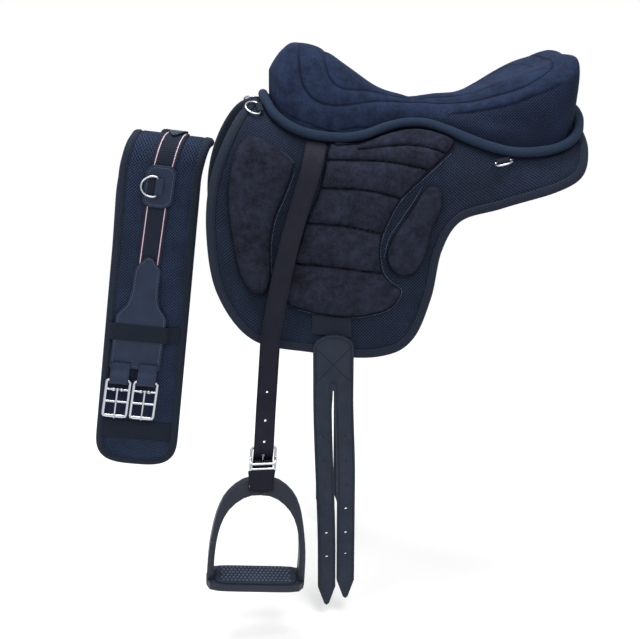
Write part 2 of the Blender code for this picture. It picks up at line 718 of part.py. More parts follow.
def folded(path):
    """Placement along a folded strap: v runs along the path and t stands off its middle line."""
    line = resample(np.array(path), False, 0.0012)
    along = np.concatenate([[0.0], np.cumsum(np.linalg.norm(np.diff(line, axis=0), axis=1))])
    run = np.gradient(line, along, axis=0)
    run /= np.linalg.norm(run, axis=1)[:, None]

    def at(v, t):
        w, n = (np.interp(v, along, line[:, k]) for k in (0, 1))
        rw, rn = (np.interp(v, along, run[:, k]) for k in (0, 1))
        size = np.hypot(rw, rn)
        return w - t * rn / size, n + t * rw / size

    return at, along[-1], line, along


def leather_x(w, side):
    """Middle line of a leather: the near one slants forward over the flap, the far one is plumb."""
    if side > 0:
        return np.interp(w, (LEATHER_TOP, FLAP_DEPTH - 0.012, LEATHER_BAR),
                         (LEATHER_TOP_X, LEATHER_FLAP_X, LEATHER_BAR_X))
    return np.interp(w, (LEATHER_TOP, RUN_UP_BAR - 0.025), (LEATHER_TOP_X, RUN_UP_X))


def leather_point(side, u, w, n):
    """A point of the strap: it lies to the surface at its top and is flat across lower down."""
    u, w, n = (np.asarray(a, float) for a in np.broadcast_arrays(u, w, n))
    laid = on_base(leather_x(w, side) + u, side * w, n)
    flat = on_base(leather_x(w, side), side * w, n)
    flat[..., 0] += u
    share = ease(w, 0.13, 0.25)[..., None]
    return laid * (1 - share) + flat * share


def arc(centre, radius, start, end):
    """Points of an arc in a strap's side view, angles in degrees from +w towards +n."""
    turn = np.radians(np.linspace(start, end, 13))
    return [(centre[0] + radius * math.cos(a), centre[1] + radius * math.sin(a)) for a in turn]


def leather_path(bar, run_up):
    """Middle line of the leather in its side view, and where the two bars lie.

    It runs down the flap, through the buckle's frame, round the stirrup's bar and up in front to
    the buckle's crossbar, where it is turned back. The run-up one passes behind its buckle and
    hangs in a second loop first.
    """
    rise = LEATHER_RISE
    cross = bar - BUCKLE_ABOVE_BAR
    turn = LEATHER_THICKNESS / 2 + 1.45 * LEATHER_BUCKLE_BAR + SEAT_GAP
    start = [(LEATHER_TOP, LEATHER_TOP_RISE), (0.108, 0.0100), (0.124, rise - 0.0010),
             (0.150, rise), (0.200, rise)]
    path = [tuple(p) for p in curve_through(start, False, 0.004)]
    if run_up:
        inner = rise + RUN_UP_STEP
        outer = inner + 2 * LEATHER_LOOP
        path += arc((RUN_UP_LOOP, rise + RUN_UP_STEP / 2), RUN_UP_STEP / 2, -90, 90)
        crossing = [(bar + 0.050, inner), (bar + 0.030, inner), (bar + 0.018, inner + 0.0020),
                    (bar + 0.0108, inner + 0.0070), (bar + 0.0080, inner + 0.0150),
                    (bar - 0.002, outer), (bar - 0.008, outer)]
        path += [tuple(p) for p in curve_through(crossing, False, 0.0015)]
    else:
        plane = rise + LEATHER_WEAVE
        outer = plane + turn
        inner = outer - 2 * LEATHER_LOOP
        weave = [(cross - 0.110, rise), (cross - 0.080, rise), (cross - 0.046, plane + 0.0030),
                 (cross - 0.032, plane + 0.0052), (cross - 0.0250, plane + 0.0052),
                 (cross - 0.0125, plane - 0.0022), (cross - 0.004, plane - 0.0086),
                 (cross + 0.006, inner + 0.0010), (cross + 0.016, inner), (bar, inner)]
        path += [tuple(p) for p in curve_through(weave, False, 0.0015)[:-1]]
        path += arc((bar, inner + LEATHER_LOOP), LEATHER_LOOP, -90, 90)
    path += arc((cross, outer - turn), turn, 90, 270)
    path += [(cross + LEATHER_TAIL, outer - 2 * turn)]
    return path, (bar, inner + LEATHER_LOOP), (cross, outer - turn)


def make_stirrup_set(side):
    """One leather with its buckle, stirrup and tread; the far one is run up, out of sight."""
    run_up = side < 0
    bar = RUN_UP_BAR if run_up else LEATHER_BAR
    path, bar_at, cross_at = leather_path(bar, run_up)
    at, length, line, along = folded(path)

    def place(u, v, t):
        w, n = at(v, t)
        return leather_point(side, u, w, n)

    top = leather_point(side, 0.0, LEATHER_TOP, LEATHER_TOP_RISE)
    half = LEATHER_WIDTH / 2
    turn = np.radians(np.linspace(180, 360, 7))
    round_top = np.stack([half * np.cos(turn), half * 0.35 * (1 + np.sin(turn))], -1)
    tail_end = np.array([(half, length), (-half, length)])
    bends = np.concatenate([[0.0], np.abs(np.diff(np.unwrap(np.arctan2(
        np.gradient(line[:, 1]), np.gradient(line[:, 0])))))])
    rows, held, last = [], 0.0, 0.0
    for a, bend in zip(along, bends):
        held += bend
        if 0.012 < a < length - 0.001 and (held > 0.26 or a - last > 0.060):
            rows.append(a)
            held, last = 0.0, a
    front = along > length - LEATHER_TAIL - 0.020
    apex = along[np.argmin(line[:, 0] + np.where(front, 0.0, 1.0))]
    spans = [(apex - 0.0110, apex + 0.0110)]
    if not run_up:
        dive = along[np.argmin(np.abs(line[:, 0] - cross_at[0] + 0.0150))]
        spans.insert(0, (dive - 0.0090, dive + 0.0125))
    ends = [a for span in spans for a in span]
    rows = [a for a in rows if min(abs(a - b) for b in ends) > 0.0008]
    rows = sorted(rows + ends)
    right = np.array([(half, a) for a in rows])
    left = np.array([(-half, a) for a in rows[::-1]])
    outline = np.vstack([round_top, right, tail_end, left])
    slots = []
    for low, high in spans:
        held = [a for a in rows if low <= a <= high]
        slots.append(np.array([(-0.0022, a) for a in held] + [(0.0022, a) for a in held[::-1]]))
    thick = LEATHER_THICKNESS / 2
    sheet(sided(side, "leather"), "leather", [outline] + slots, place, level(thick), level(-thick),
          origin=tuple(top), least=0.001, folds=rows)

    make_leather_buckle(side, cross_at, top)
    make_stirrup(side, bar_at)


def make_leather_buckle(side, cross_at, top):
    """Square buckle of the leather and its tongue, v down from the crossbar."""
    w0, n0 = cross_at

    def place(u, v, t):
        return leather_point(side, u, w0 + v, n0 + t)

    outer = rounded_box(-0.0205, 0.0205, -0.029, 0.017, 0.005, 0.050)
    bar = LEATHER_BUCKLE_BAR
    upper = rounded_box(-0.0165, 0.0165, -0.0245, -bar, 0.002, 0.050, 3)
    lower = rounded_box(-0.0165, 0.0165, bar, 0.0128, 0.002, 0.050, 3)
    sheet(sided(side, "leather_buckle"), "steel", [outer, upper, lower], place, level(bar),
          level(-bar), origin=tuple(top))
    tongue = rounded_box(-0.0014, 0.0014, -0.0285, 0.0010, 0.0012, 0.010, 3)
    sheet(sided(side, "leather_tongue"), "steel", [tongue], place, level(-0.0026), level(-0.0050),
          origin=tuple(top))


def make_stirrup(side, bar_at):
    """Composite stirrup with a wide tread, and the rubber pad on it."""
    at = leather_point(side, 0.0, *bar_at)
    hang = Matrix.Translation(Vector(at))
    if side > 0:
        hang = hang @ Matrix.Rotation(STIRRUP_ROLL, 4, "Y")
    else:
        hang = hang @ Matrix.Rotation(RUN_UP_TILT, 4, "X")

    def place(u, v, t):
        local = np.stack([u, -side * t, -v], -1)
        return np.array([tuple(hang @ Vector(p)) for p in local])

    half = STIRRUP_WIDTH / 2
    floor = STIRRUP_HEIGHT - 0.006
    bar = STIRRUP_BAR / 2
    leg = STIRRUP_LEG
    outer = curve_through([(0.0, -bar), (0.018, -bar + 0.0004), (0.030, 0.0005), (0.0430, 0.0110),
                           (0.0555, 0.0280), (0.0655, 0.0565), (half - 0.0045, 0.0900),
                           (half - 0.001, 0.1250), (half, floor - 0.002)], False, 0.014)
    outer = np.vstack([outer[::-1] * np.array([-1.0, 1.0]), outer[1:]])
    tread_low = floor + 0.0015
    sill = tread_low - TREAD_THICKNESS + 0.003
    inner = curve_through([(0.0, 0.0245), (0.018, 0.0265), (0.0340, 0.0360), (0.0475, 0.0500),
                           (0.0565, 0.0680), (half - leg - 0.003, 0.0920), (half - leg, 0.1250),
                           (half - leg, sill)], False, 0.014)
    inner = np.vstack([inner[::-1] * np.array([-1.0, 1.0]), inner[1:]])
    eye = rounded_box(-0.0180, 0.0180, bar, 0.0150, 0.003, 0.012, 3)

    def deep(u, v, d):
        share = np.clip((v - 0.016) / 0.09, 0.0, 1.0)
        half_depth = STIRRUP_DEPTH_TOP / 2 * (1 - share) + STIRRUP_DEPTH_LEG / 2 * share
        return half_depth - 0.0022 * (1 - np.clip(d / 0.003, 0.0, 1.0))

    arch = sheet(sided(side, "stirrup"), "polymer", [outer, inner, eye], place, deep,
                 lambda u, v, d: -deep(u, v, d), rings=(0.003,), rows=(), least=0.003,
                 origin=tuple(at))

    plan = curve_through([(-half + 0.001, -0.016), (-half + 0.001, 0.016), (-half + 0.016, 0.0285),
                          (0.0, TREAD_DEPTH / 2), (half - 0.016, 0.0285), (half - 0.001, 0.016),
                          (half - 0.001, -0.016), (half - 0.016, -0.0285),
                          (0.0, -TREAD_DEPTH / 2), (-half + 0.016, -0.0285)], True, 0.014)

    def lying(u, v, t):
        local = np.stack([u, -side * v, t - tread_low], -1)
        return np.array([tuple(hang @ Vector(p)) for p in local])

    tread = sheet(sided(side, "tread_body"), "polymer", [plan], lying, level(TREAD_THICKNESS),
                  level(0.0), origin=tuple(at))
    tread.hide_render = True
    tread.display_type = "WIRE"
    join = arch.modifiers.new("tread", "BOOLEAN")
    join.operation = "UNION"
    join.object = tread
    inside_half = half - leg - 0.002
    pad = curve_through([(-inside_half, -0.013), (-inside_half, 0.013),
                         (-inside_half + 0.012, 0.0245), (0.0, 0.026),
                         (inside_half - 0.012, 0.0245), (inside_half, 0.013),
                         (inside_half, -0.013), (inside_half - 0.012, -0.0245),
                         (0.0, -0.026), (-inside_half + 0.012, -0.0245)], True, 0.014)
    sheet(sided(side, "tread_pad"), "rubber", [pad], lying,
          level(TREAD_THICKNESS + SEAT_GAP + TREAD_PAD_THICKNESS),
          level(TREAD_THICKNESS + SEAT_GAP), origin=tuple(at))


def make_billets():
    """Webbing and the pair of billet straps on each side."""
    for side in (1, -1):
        centre = BILLET_X + (FAR_BILLET_SHIFT if side < 0 else 0.0)
        half = WEB_WIDTH / 2
        flap_low = on_base(centre, FLAP_DEPTH, 0.0)
        hinge_s = FLAP_DEPTH - (BILLET_HINGE - flap_low[2]) / math.sin(FLAP_SLOPE)
        web = refine(np.array([(centre - half, 0.353), (centre + half, 0.353),
                               (centre + half, hinge_s - 0.001), (centre - half, hinge_s - 0.001)]),
                     0.03)
        sheet(sided(side, "billet_web"), "webbing", [web], base_place(side),
              level(SEAT_GAP + WEB_THICKNESS), level(SEAT_GAP), rows=())
        inner = abs(flap_low[1]) + SEAT_GAP
        at = on_base(centre, side * hinge_s, SEAT_GAP + WEB_THICKNESS / 2)

        def place(u, v, t, way=side, out=inner, mid=centre):
            return np.stack([mid + u, np.full(len(u), 0.0) - way * (out + t), v], -1)

        sheet(sided(side, "billets"), "leather", billet_loops(), place,
              level(BILLET_THICKNESS), level(0.0), origin=tuple(at))


def billet_loops():
    """Outline of a billet pair with its slit and holes, v as height."""
    half = BILLET_WIDTH / 2
    slit = BILLET_SLIT / 2
    turn = np.radians(np.linspace(0, 180, 9))
    top = np.stack([half * np.cos(turn), BILLET_TOP - 0.020 + 0.020 * np.sin(turn)], -1)
    left_tip, right_tip = BILLET_TIPS
    middle = (half + slit) / 2
    left = np.array([(-half, left_tip + BILLET_TAPER), (-middle, left_tip),
                     (-slit, left_tip + BILLET_TAPER)])
    around = np.radians(np.linspace(200, -20, 7))
    notch = np.stack([0.0040 * np.cos(around), BILLET_NOTCH - 0.004 + 0.0040 * np.sin(around)], -1)
    right = np.array([(slit, right_tip + BILLET_TAPER), (middle, right_tip),
                      (half, right_tip + BILLET_TAPER)])
    outer = refine(np.vstack([top, left, notch, right]), 0.060)
    holes = []
    ring = np.radians(np.arange(0, 360, 60))
    for across in (-middle, middle):
        for k in range(BILLET_HOLES):
            down = BILLET_HOLE_TOP - k * BILLET_HOLE_PITCH
            holes.append(np.stack([across + BILLET_HOLE_RADIUS * np.cos(ring),
                                   down + BILLET_HOLE_RADIUS * np.sin(ring)], -1))
    return [outer] + holes


def dee_loop(width, reach):
    """A D-shaped ring: straight bar along u, bow towards +v."""
    half = width / 2
    corner = 0.006
    turn = np.radians(np.linspace(0, 180, 11))
    bow = np.stack([half * np.cos(turn), corner + (reach - corner) * np.sin(turn)], -1)
    bar = np.array([(-half + 0.002, 0.0005), (-half + 0.005, 0.0), (0.0, 0.0),
                    (half - 0.005, 0.0), (half - 0.002, 0.0005)])
    return np.vstack([bow, bar])


def tangent_frame(place, x, s, h):
    """Point, direction of x, direction of s and outward normal on a pattern place."""
    step = 0.002
    at = place(x, s, h)
    ahead = place(x + step, s, h) - place(x - step, s, h)
    ahead /= np.linalg.norm(ahead)
    down = place(x, s + step, h) - place(x, s - step, h)
    down -= ahead * (down @ ahead)
    down /= np.linalg.norm(down)
    out = place(x, s, h + step) - at
    out -= ahead * (out @ ahead) + down * (out @ down)
    return at, ahead, down, out / np.linalg.norm(out)


def make_dees():
    """Tabs and dees: two in front of the seat and two behind it."""
    height = DEE_WIRE + 2 * SEAT_GAP + TAB_THICKNESS + DEE_CLEAR
    loop = dee_loop(DEE_WIDTH, DEE_REACH)
    for side in (1, -1):
        place = base_place(side)
        at, ahead, down, out = tangent_frame(place, FRONT_DEE[0], FRONT_DEE[1], height)
        c, s = math.cos(FRONT_DEE_TURN), math.sin(FRONT_DEE_TURN)
        ahead, down = ahead * c + down * s, down * c - ahead * s
        ring = at + loop[:, :1] * down - loop[:, 1:] * ahead
        wire(sided(side, "front_dee"), "steel", ring, DEE_WIRE, origin=tuple(at))
        band_tab(sided(side, "front_tab"), at, down, ahead, TAB_WIDTH, 0.0050)
        at, ahead, down, out = tangent_frame(place, REAR_DEE[0], REAR_DEE[1], height)
        lifted = down * math.cos(REAR_DEE_LIFT) + out * math.sin(REAR_DEE_LIFT)
        ring = at + loop[:, :1] * ahead + loop[:, 1:] * lifted
        wire(sided(side, "rear_dee"), "steel", ring, DEE_WIRE, origin=tuple(at))
        band_tab(sided(side, "rear_tab"), at, ahead, -down, TAB_WIDTH, 0.0050)


def band_tab(name, bar, across, back, width, length):
    """A tab folded round a dee's bar and laid back on itself."""
    lift = np.cross(across, back)
    lift /= np.linalg.norm(lift)
    if lift[2] < 0:
        lift = -lift
    inner = DEE_WIRE + SEAT_GAP
    outer = inner + TAB_THICKNESS
    turn = np.radians(np.linspace(90, 270, 7))
    rim_out = [(length, outer)] + [(outer * math.cos(a), outer * math.sin(a)) for a in turn]
    rim_out += [(length, -outer)]
    rim_in = [(length, -inner)] + [(inner * math.cos(a), inner * math.sin(a)) for a in turn[::-1]]
    rim_in += [(length, inner)]
    outline = np.array(rim_out + rim_in)
    side_a = [bar + across * (-width / 2) + back * p[0] + lift * p[1] for p in outline]
    side_b = [bar + across * (width / 2) + back * p[0] + lift * p[1] for p in outline]
    n = len(outline)
    faces = [tuple(range(n)), tuple(range(2 * n - 1, n - 1, -1))]
    faces += [(k, (k + 1) % n, n + (k + 1) % n, n + k) for k in range(n)]
    build_mesh(name, "webbing", np.array(side_a + side_b), faces)


FOLD_STATIONS = GIRTH_FOLD_RADIUS * np.linspace(-math.pi / 2, math.pi / 2, 9)


def girth_point(u, v, h):
    """World points of the girth: v runs down the near side from the fold, h off its inner face."""
    u, v, h = (np.asarray(a, float) for a in np.broadcast_arrays(u, v, h))
    quarter = GIRTH_FOLD_RADIUS * math.pi / 2
    turn = np.clip(v, -quarter, quarter) / GIRTH_FOLD_RADIUS
    beyond = v - np.clip(v, -quarter, quarter)
    y = -(GIRTH_FOLD_RADIUS + h) * np.sin(turn)
    z = (GIRTH_FOLD_RADIUS + h) * np.cos(turn) - GIRTH_FOLD_RADIUS - GIRTH_THICKNESS
    z = z - np.abs(beyond)
    c, s = math.cos(GIRTH_LEAN), math.sin(GIRTH_LEAN)
    x0, y0, z0 = GIRTH_TOP
    near_share = 1 - np.clip(v, 0.0, 0.070) / 0.070
    far_share = 1 - np.clip(-v, 0.0, 0.120) / 0.120
    u = u + np.where(v > 0, GIRTH_SHEAR * near_share ** 2,
                     GIRTH_FAR_SHIFT + (GIRTH_SHEAR - GIRTH_FAR_SHIFT) * far_share ** 2)
    return np.stack([x0 + u * c + z * s, y0 + y, z0 - u * s + z * c], -1)


def strap_point(u, v, h):
    """World points of what is sewn along the girth: it drifts across the pad on the near side."""
    drift = GIRTH_STRAP_START + GIRTH_STRAP_DRIFT * np.maximum(np.asarray(v, float), 0.0)
    return girth_point(np.asarray(u, float) + drift, v, h)


def cut_at(points, stations, step):
    """A closed outline cut where it crosses the fold's stations, and evenly elsewhere."""
    fine = []
    low, high = stations[0], stations[-1]
    for a, b in zip(points, np.roll(points, -1, axis=0)):
        run = b - a
        cuts = {0.0}
        if abs(run[1]) > 1e-9:
            cuts |= {float((s - a[1]) / run[1]) for s in stations}
        parts = max(1, int(math.ceil(np.linalg.norm(run) / step - 1e-6)))
        for k in range(parts):
            v = a[1] + run[1] * k / parts
            if v < low - 0.004 or v > high + 0.004 or abs(run[1]) < 1e-9:
                cuts.add(k / parts)
        fine.extend(a + run * c for c in sorted(cuts) if 0.0 <= c < 1.0 - 1e-6)
    return np.array(fine)


def make_girth():
    """Girth pad, elastic web, leather ends, patch, keepers, dee and buckles."""
    half, corner = GIRTH_END_HALF_WIDTH, GIRTH_CORNER
    near, far = GIRTH_NEAR_LENGTH, GIRTH_FAR_LENGTH
    near_end = curve_through([(half, near - corner), (half * 0.72, near - 0.012), (0.0, near),
                              (-half * 0.72, near - 0.012), (-half, near - corner)], False, 0.022)
    half = GIRTH_HALF_WIDTH
    far_end = curve_through([(-half, -far + corner), (-half * 0.72, -far + 0.012), (0.0, -far),
                             (half * 0.72, -far + 0.012), (half, -far + corner)], False, 0.022)
    pad = cut_at(np.vstack([near_end, far_end]), FOLD_STATIONS, 0.035)
    thick = GIRTH_THICKNESS
    sheet("girth_pad", "mesh", [pad], girth_point, crowned(thick * 0.6, thick, 0.006),
          lambda u, v, d: 0.003 * (1 - np.clip(d / 0.006, 0, 1)),
          rows=np.concatenate([FOLD_STATIONS, np.arange(0.09, 0.53, 0.07),
                               -np.arange(0.09, 0.30, 0.07)]),
          pitch=0.040, rings=(0.006,), least=0.006, folds=FOLD_STATIONS)

    web_at = thick + SEAT_GAP
    web_top = web_at + GIRTH_WEB_THICKNESS
    web_half = GIRTH_WEB_WIDTH / 2
    far_tip = 0.012
    web_end = FOLD_STATIONS[1]
    web = cut_at(np.array([(-web_half, web_end), (web_half, web_end),
                           (web_half, GIRTH_TIP + 0.03), (-web_half, GIRTH_TIP + 0.03)]),
                 FOLD_STATIONS, 0.035)
    sheet("girth_web", "elastic", [web], strap_point, level(web_top), level(web_at),
          folds=FOLD_STATIONS)

    leather_at = web_top + SEAT_GAP
    leather_top = leather_at + GIRTH_LEATHER_THICKNESS
    make_girth_patch(leather_at, leather_top)
    make_girth_end("near", GIRTH_TIP, 1.0, leather_at, leather_top)
    make_girth_end("far", far_tip, -1.0, leather_at, leather_top)


def make_girth_patch(low, high):
    """Leather patch on the web and the dee sewn to it."""
    outline = rounded_box(-0.0235, 0.0235, 0.046, 0.112, 0.014, 0.016)
    sheet("girth_patch", "girth leather", [outline], strap_point, level(high), level(low))
    loop = dee_loop(0.032, 0.024)
    rise = high + 2 * SEAT_GAP + TAB_THICKNESS + DEE_WIRE
    ring = strap_point(-0.003 - loop[:, 1], 0.079 + loop[:, 0], rise)
    middle = strap_point(-0.003, 0.079, rise)
    wire("girth_dee", "steel", ring, DEE_WIRE, origin=tuple(middle))
    along = strap_point(-0.003, 0.083, rise) - middle
    back = strap_point(0.001, 0.079, rise) - middle
    band_tab("girth_dee_tab", middle, along / np.linalg.norm(along), back / np.linalg.norm(back),
             0.018, 0.0090)


def chape_path():
    """Middle line of a leather end: down its block, round the buckle's bar and back on top."""
    bar = GIRTH_CHAPE
    turn = GIRTH_LEATHER_THICKNESS / 2 + 1.45 * GIRTH_BUCKLE_THICKNESS / 2 + SEAT_GAP
    back = GIRTH_LEATHER_THICKNESS + SEAT_GAP
    lapped = [(bar, 2 * turn), (bar - 0.008, 0.6 * 2 * turn + 0.4 * back), (bar - 0.018, back),
              (bar - 0.030, back)]
    path = [(0.0, 0.0)] + arc((bar, turn), turn, -90, 90)
    path += [tuple(p) for p in curve_through(lapped, False, 0.003)[1:]]
    return path, turn


def end_outline(length):
    """Pointed leather end: narrow neck, broad block and two chapes that fold back."""
    half_neck, half_block = 0.0205, 0.0400
    pitch = GIRTH_BUCKLE_PITCH / 2
    chape = GIRTH_CHAPE_WIDTH / 2
    shoulder = GIRTH_CHAPE - 0.020
    right = [(0.0, 0.0), (0.010, 0.008), (half_neck - 0.001, 0.022), (half_neck, 0.050),
             (half_neck + 0.004, 0.074), (half_block - 0.008, 0.096), (half_block, 0.112),
             (half_block, shoulder), (pitch + chape, shoulder + 0.004), (pitch + chape, length),
             (pitch - chape, length), (pitch - chape, shoulder + 0.006), (0.0050, shoulder + 0.001),
             (0.0, shoulder - 0.004)]
    left = [(-u, v) for u, v in right[-2:0:-1]]
    return np.array(right + left)


def make_keeper(name, start, end, over):
    """An elastic band across the girth; over is the height of a strap that it covers, or 0."""
    left, right = KEEPER_ENDS
    steps = [left, right]
    rests = GIRTH_THICKNESS + SEAT_GAP
    strap = GIRTH_STRAP_START + GIRTH_STRAP_DRIFT * max(end, 0.0)
    edges = (strap - 0.0415, strap - GIRTH_STRAP_DRIFT * (end - start) + 0.0415)
    if over:
        steps = [left, edges[0] - 0.006, edges[0], edges[1], edges[1] + 0.006, right]
    strip = np.array([(u, start) for u in steps] + [(u, end) for u in steps[::-1]])

    def under(u, v, d):
        away = np.maximum(np.maximum(edges[0] - u, u - edges[1]), 0.0)
        lift = max(over - GIRTH_THICKNESS, 0.0)
        return rests + lift * (1 - np.clip(away / 0.006, 0.0, 1.0))

    sheet(name, "elastic", [strip], girth_point,
          lambda u, v, d: under(u, v, d) + GIRTH_KEEPER_THICKNESS, under)


def make_girth_end(name, tip, way, low, high):
    """One leather end of the girth with its keeper bands, chapes, buckles and tongues."""
    path, turn = chape_path()
    at, length, line, along = folded(path)
    middle = (low + high) / 2

    def place(u, v, t):
        w, n = at(v, t)
        return strap_point(u, tip + way * w, middle + n)

    bends = along[along > GIRTH_CHAPE - 0.004][::2]
    bends = bends[bends < length - 0.006]
    stations = np.concatenate([way * (FOLD_STATIONS - tip)])
    stations = np.sort(stations[stations > 0.0])
    outline = end_outline(length)
    rows = np.concatenate([stations, bends]) if way < 0 else bends
    outline = refine_rows(outline, rows, 0.030)
    thick = GIRTH_LEATHER_THICKNESS / 2
    sheet(name + "_girth_leather", "girth leather", [outline], place, level(thick), level(-thick),
          least=0.001, folds=rows)
    for band, start, end in (("upper", 0.113, 0.140), ("lower", 0.280, 0.311)):
        make_keeper(name + "_girth_keeper_" + band, *sorted((tip + way * start, tip + way * end)),
                    high if band == "upper" else 0.0)
    bar_v = tip + way * GIRTH_CHAPE
    for k, across in enumerate((-GIRTH_BUCKLE_PITCH / 2, GIRTH_BUCKLE_PITCH / 2)):
        label = name + "_girth_buckle_" + ("front", "rear")[k]
        make_girth_buckle(label, across, bar_v, way, middle + turn)


def refine_rows(points, stations, step):
    """A closed outline cut wherever it crosses a station, and evenly elsewhere."""
    fine = []
    for a, b in zip(points, np.roll(points, -1, axis=0)):
        run = b - a
        cuts = {0.0}
        if abs(run[1]) > 1e-9:
            cuts |= {float((s - a[1]) / run[1]) for s in stations}
        held = sorted(c for c in cuts if 0.0 <= c < 1.0 - 1e-6) + [1.0]
        for c, d in zip(held, held[1:]):
            parts = max(1, int(math.ceil(np.linalg.norm(run) * (d - c) / step - 1e-6)))
            fine.extend(a + run * (c + (d - c) * k / parts) for k in range(parts))
    return np.array(fine)


def make_girth_buckle(label, across, bar_v, way, mid):
    """Roller buckle: shaped bar, plain bar and roller, with its tongue."""
    wide, tall = GIRTH_BUCKLE_WIDTH / 2, GIRTH_BUCKLE_HEIGHT
    side_bar = 0.0042
    bar = GIRTH_BUCKLE_THICKNESS / 2
    outer = rounded_box(-wide, wide, -bar, tall - bar, 0.004, 0.080)
    inner_wide = wide - side_bar
    windows = [rounded_box(-inner_wide, inner_wide, a, b, 0.0012, 0.080, 3)
               for a, b in ((bar, 0.0130), (0.0185, 0.0350), (0.0385, tall - bar - 0.0055))]

    def place(u, v, t):
        return strap_point(across + u, bar_v + way * v, mid + t)

    at = strap_point(across, bar_v, mid)
    sheet(label, "steel", [outer] + windows, place, level(bar), level(-bar), origin=tuple(at))
    tongue = rounded_box(-0.0016, 0.0016, 0.0125, tall - 0.0015, 0.0014, 0.016)
    rise = GIRTH_BUCKLE_THICKNESS / 2
    sheet(label.replace("buckle", "tongue"), "steel", [tongue], place, level(rise + 0.0032),
          level(rise + SEAT_GAP), rows=(), origin=tuple(at))


def make_stirrup_web():
    """The web that carries both leathers, over the spine and out under the seat's edge."""
    half = 0.013
    reach = LEATHER_TOP + 0.005
    band = refine(np.array([(LEATHER_TOP_X - half, -reach), (LEATHER_TOP_X + half, -reach),
                            (LEATHER_TOP_X + half, reach), (LEATHER_TOP_X - half, reach)]), 0.010)
    sheet("stirrup_web", "webbing", [band], on_base, level(SEAT_GAP + WEB_THICKNESS),
          level(SEAT_GAP), rows=())


def main():
    """Build every piece."""
    clear_scene()
    make_base()
    make_flap_cushions()
    make_seat()
    make_stirrup_web()
    for side in (1, -1):
        make_stirrup_set(side)
    make_billets()
    make_dees()
    make_girth()


main()
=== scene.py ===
"""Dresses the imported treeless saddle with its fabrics, leathers and steel, in metres, +Z up.

The saddle's front points to -X and its near side to -Y. Each padded piece is drawn on the flat
pattern of the base (x along the spine, s down the surface, h off it) or of the girth (u across,
v along, h off it), and laid on the same curved surfaces that the solids use.
"""
import logging
import math
from dataclasses import dataclass, field
from enum import Enum
from typing import Callable, ClassVar, Sequence

import bmesh
import bpy
import numpy as np
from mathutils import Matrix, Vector


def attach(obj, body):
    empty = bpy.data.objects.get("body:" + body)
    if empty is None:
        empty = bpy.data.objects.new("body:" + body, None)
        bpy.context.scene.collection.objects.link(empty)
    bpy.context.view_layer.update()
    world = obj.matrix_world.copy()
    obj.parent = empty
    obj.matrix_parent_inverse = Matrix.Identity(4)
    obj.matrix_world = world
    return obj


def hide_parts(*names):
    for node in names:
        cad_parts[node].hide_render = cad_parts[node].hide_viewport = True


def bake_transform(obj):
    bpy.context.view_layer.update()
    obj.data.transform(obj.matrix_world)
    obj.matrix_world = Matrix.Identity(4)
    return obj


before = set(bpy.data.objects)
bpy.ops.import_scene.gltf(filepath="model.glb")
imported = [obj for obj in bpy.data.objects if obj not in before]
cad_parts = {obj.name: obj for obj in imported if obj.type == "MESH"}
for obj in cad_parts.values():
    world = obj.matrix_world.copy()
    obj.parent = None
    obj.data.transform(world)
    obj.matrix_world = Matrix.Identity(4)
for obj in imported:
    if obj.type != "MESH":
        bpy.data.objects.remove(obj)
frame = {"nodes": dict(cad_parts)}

Array = np.ndarray
Place = Callable[[Array, Array, Array], Array]
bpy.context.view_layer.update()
log = logging.getLogger("saddle")


class Side(Enum):
    """The two sides of the horse; the near one is its left."""

    NEAR = 1
    FAR = -1

    def name_of(self, piece: str) -> str:
        """Name of a piece on this side."""
        return f"{self.name.lower()}_{piece}"


# ---------------------------------------------------------------------------------------------
# Lines, grids and distances


def ease(x: Array, start: float, end: float) -> Array:
    """A smooth 0 to 1 between two places: 3t^2 - 2t^3.

    Args:
        x: Places.
        start: Where it is still 0.
        end: Where it is 1.

    Returns:
        The share at each place.
    """
    t = np.clip((np.asarray(x, float) - start) / (end - start), 0.0, 1.0)
    return t * t * (3 - 2 * t)


def mm(*points: Sequence[float]) -> list[tuple[float, ...]]:
    """Points written in millimetres, in metres."""
    return [tuple(value / 1000 for value in point) for point in points]


def lengths(line: Array) -> Array:
    """Arc length from the start of a polyline to each of its points."""
    return np.concatenate([[0.0], np.cumsum(np.linalg.norm(np.diff(line, axis=0), axis=1))])


def unit(vectors: Array) -> Array:
    """Vectors brought to a length of 1."""
    return vectors / np.linalg.norm(vectors, axis=-1, keepdims=True)


def lattice(u: Array, v: Array) -> Array:
    """A flat grid, (len(v), len(u), 2), with one row for each v."""
    return np.stack(np.broadcast_arrays(u[None, :], v[:, None]), -1)


def unit_arc(start: float, end: float, count: int) -> Array:
    """Points of the unit circle between two angles in degrees."""
    turn = np.radians(np.linspace(start, end, count))
    return np.stack([np.cos(turn), np.sin(turn)], -1)


def rounded_box(half: float, low: float, high: float, corner: float, count: int = 7) -> Array:
    """A loop round |u| < half, low < v < high, with quarter circles at its corners."""
    right, bend = half - corner, unit_arc(0, 90, count) * corner
    return np.vstack([
        (right, high - corner) + bend, (-right, high - corner) + bend[::-1] * (-1, 1),
        (-right, low + corner) - bend, (right, low + corner) + bend[::-1] * (1, -1)])


def resample(points: Array, step: float, closed: bool) -> Array:
    """Even points along a polyline, by arc length.

    Args:
        points: Corner points, (n, k).
        step: Spacing in metres.
        closed: Whether the last point joins the first.

    Returns:
        The even points, without the repeated first one where it is closed.
    """
    line = np.vstack([points, points[:1]]) if closed else np.asarray(points, float)
    along = lengths(line)
    at = np.linspace(0.0, along[-1], max(3, int(round(along[-1] / step))) + 1)
    even = np.stack([np.interp(at, along, line[:, k]) for k in range(line.shape[1])], -1)
    return even[:-1] if closed else even


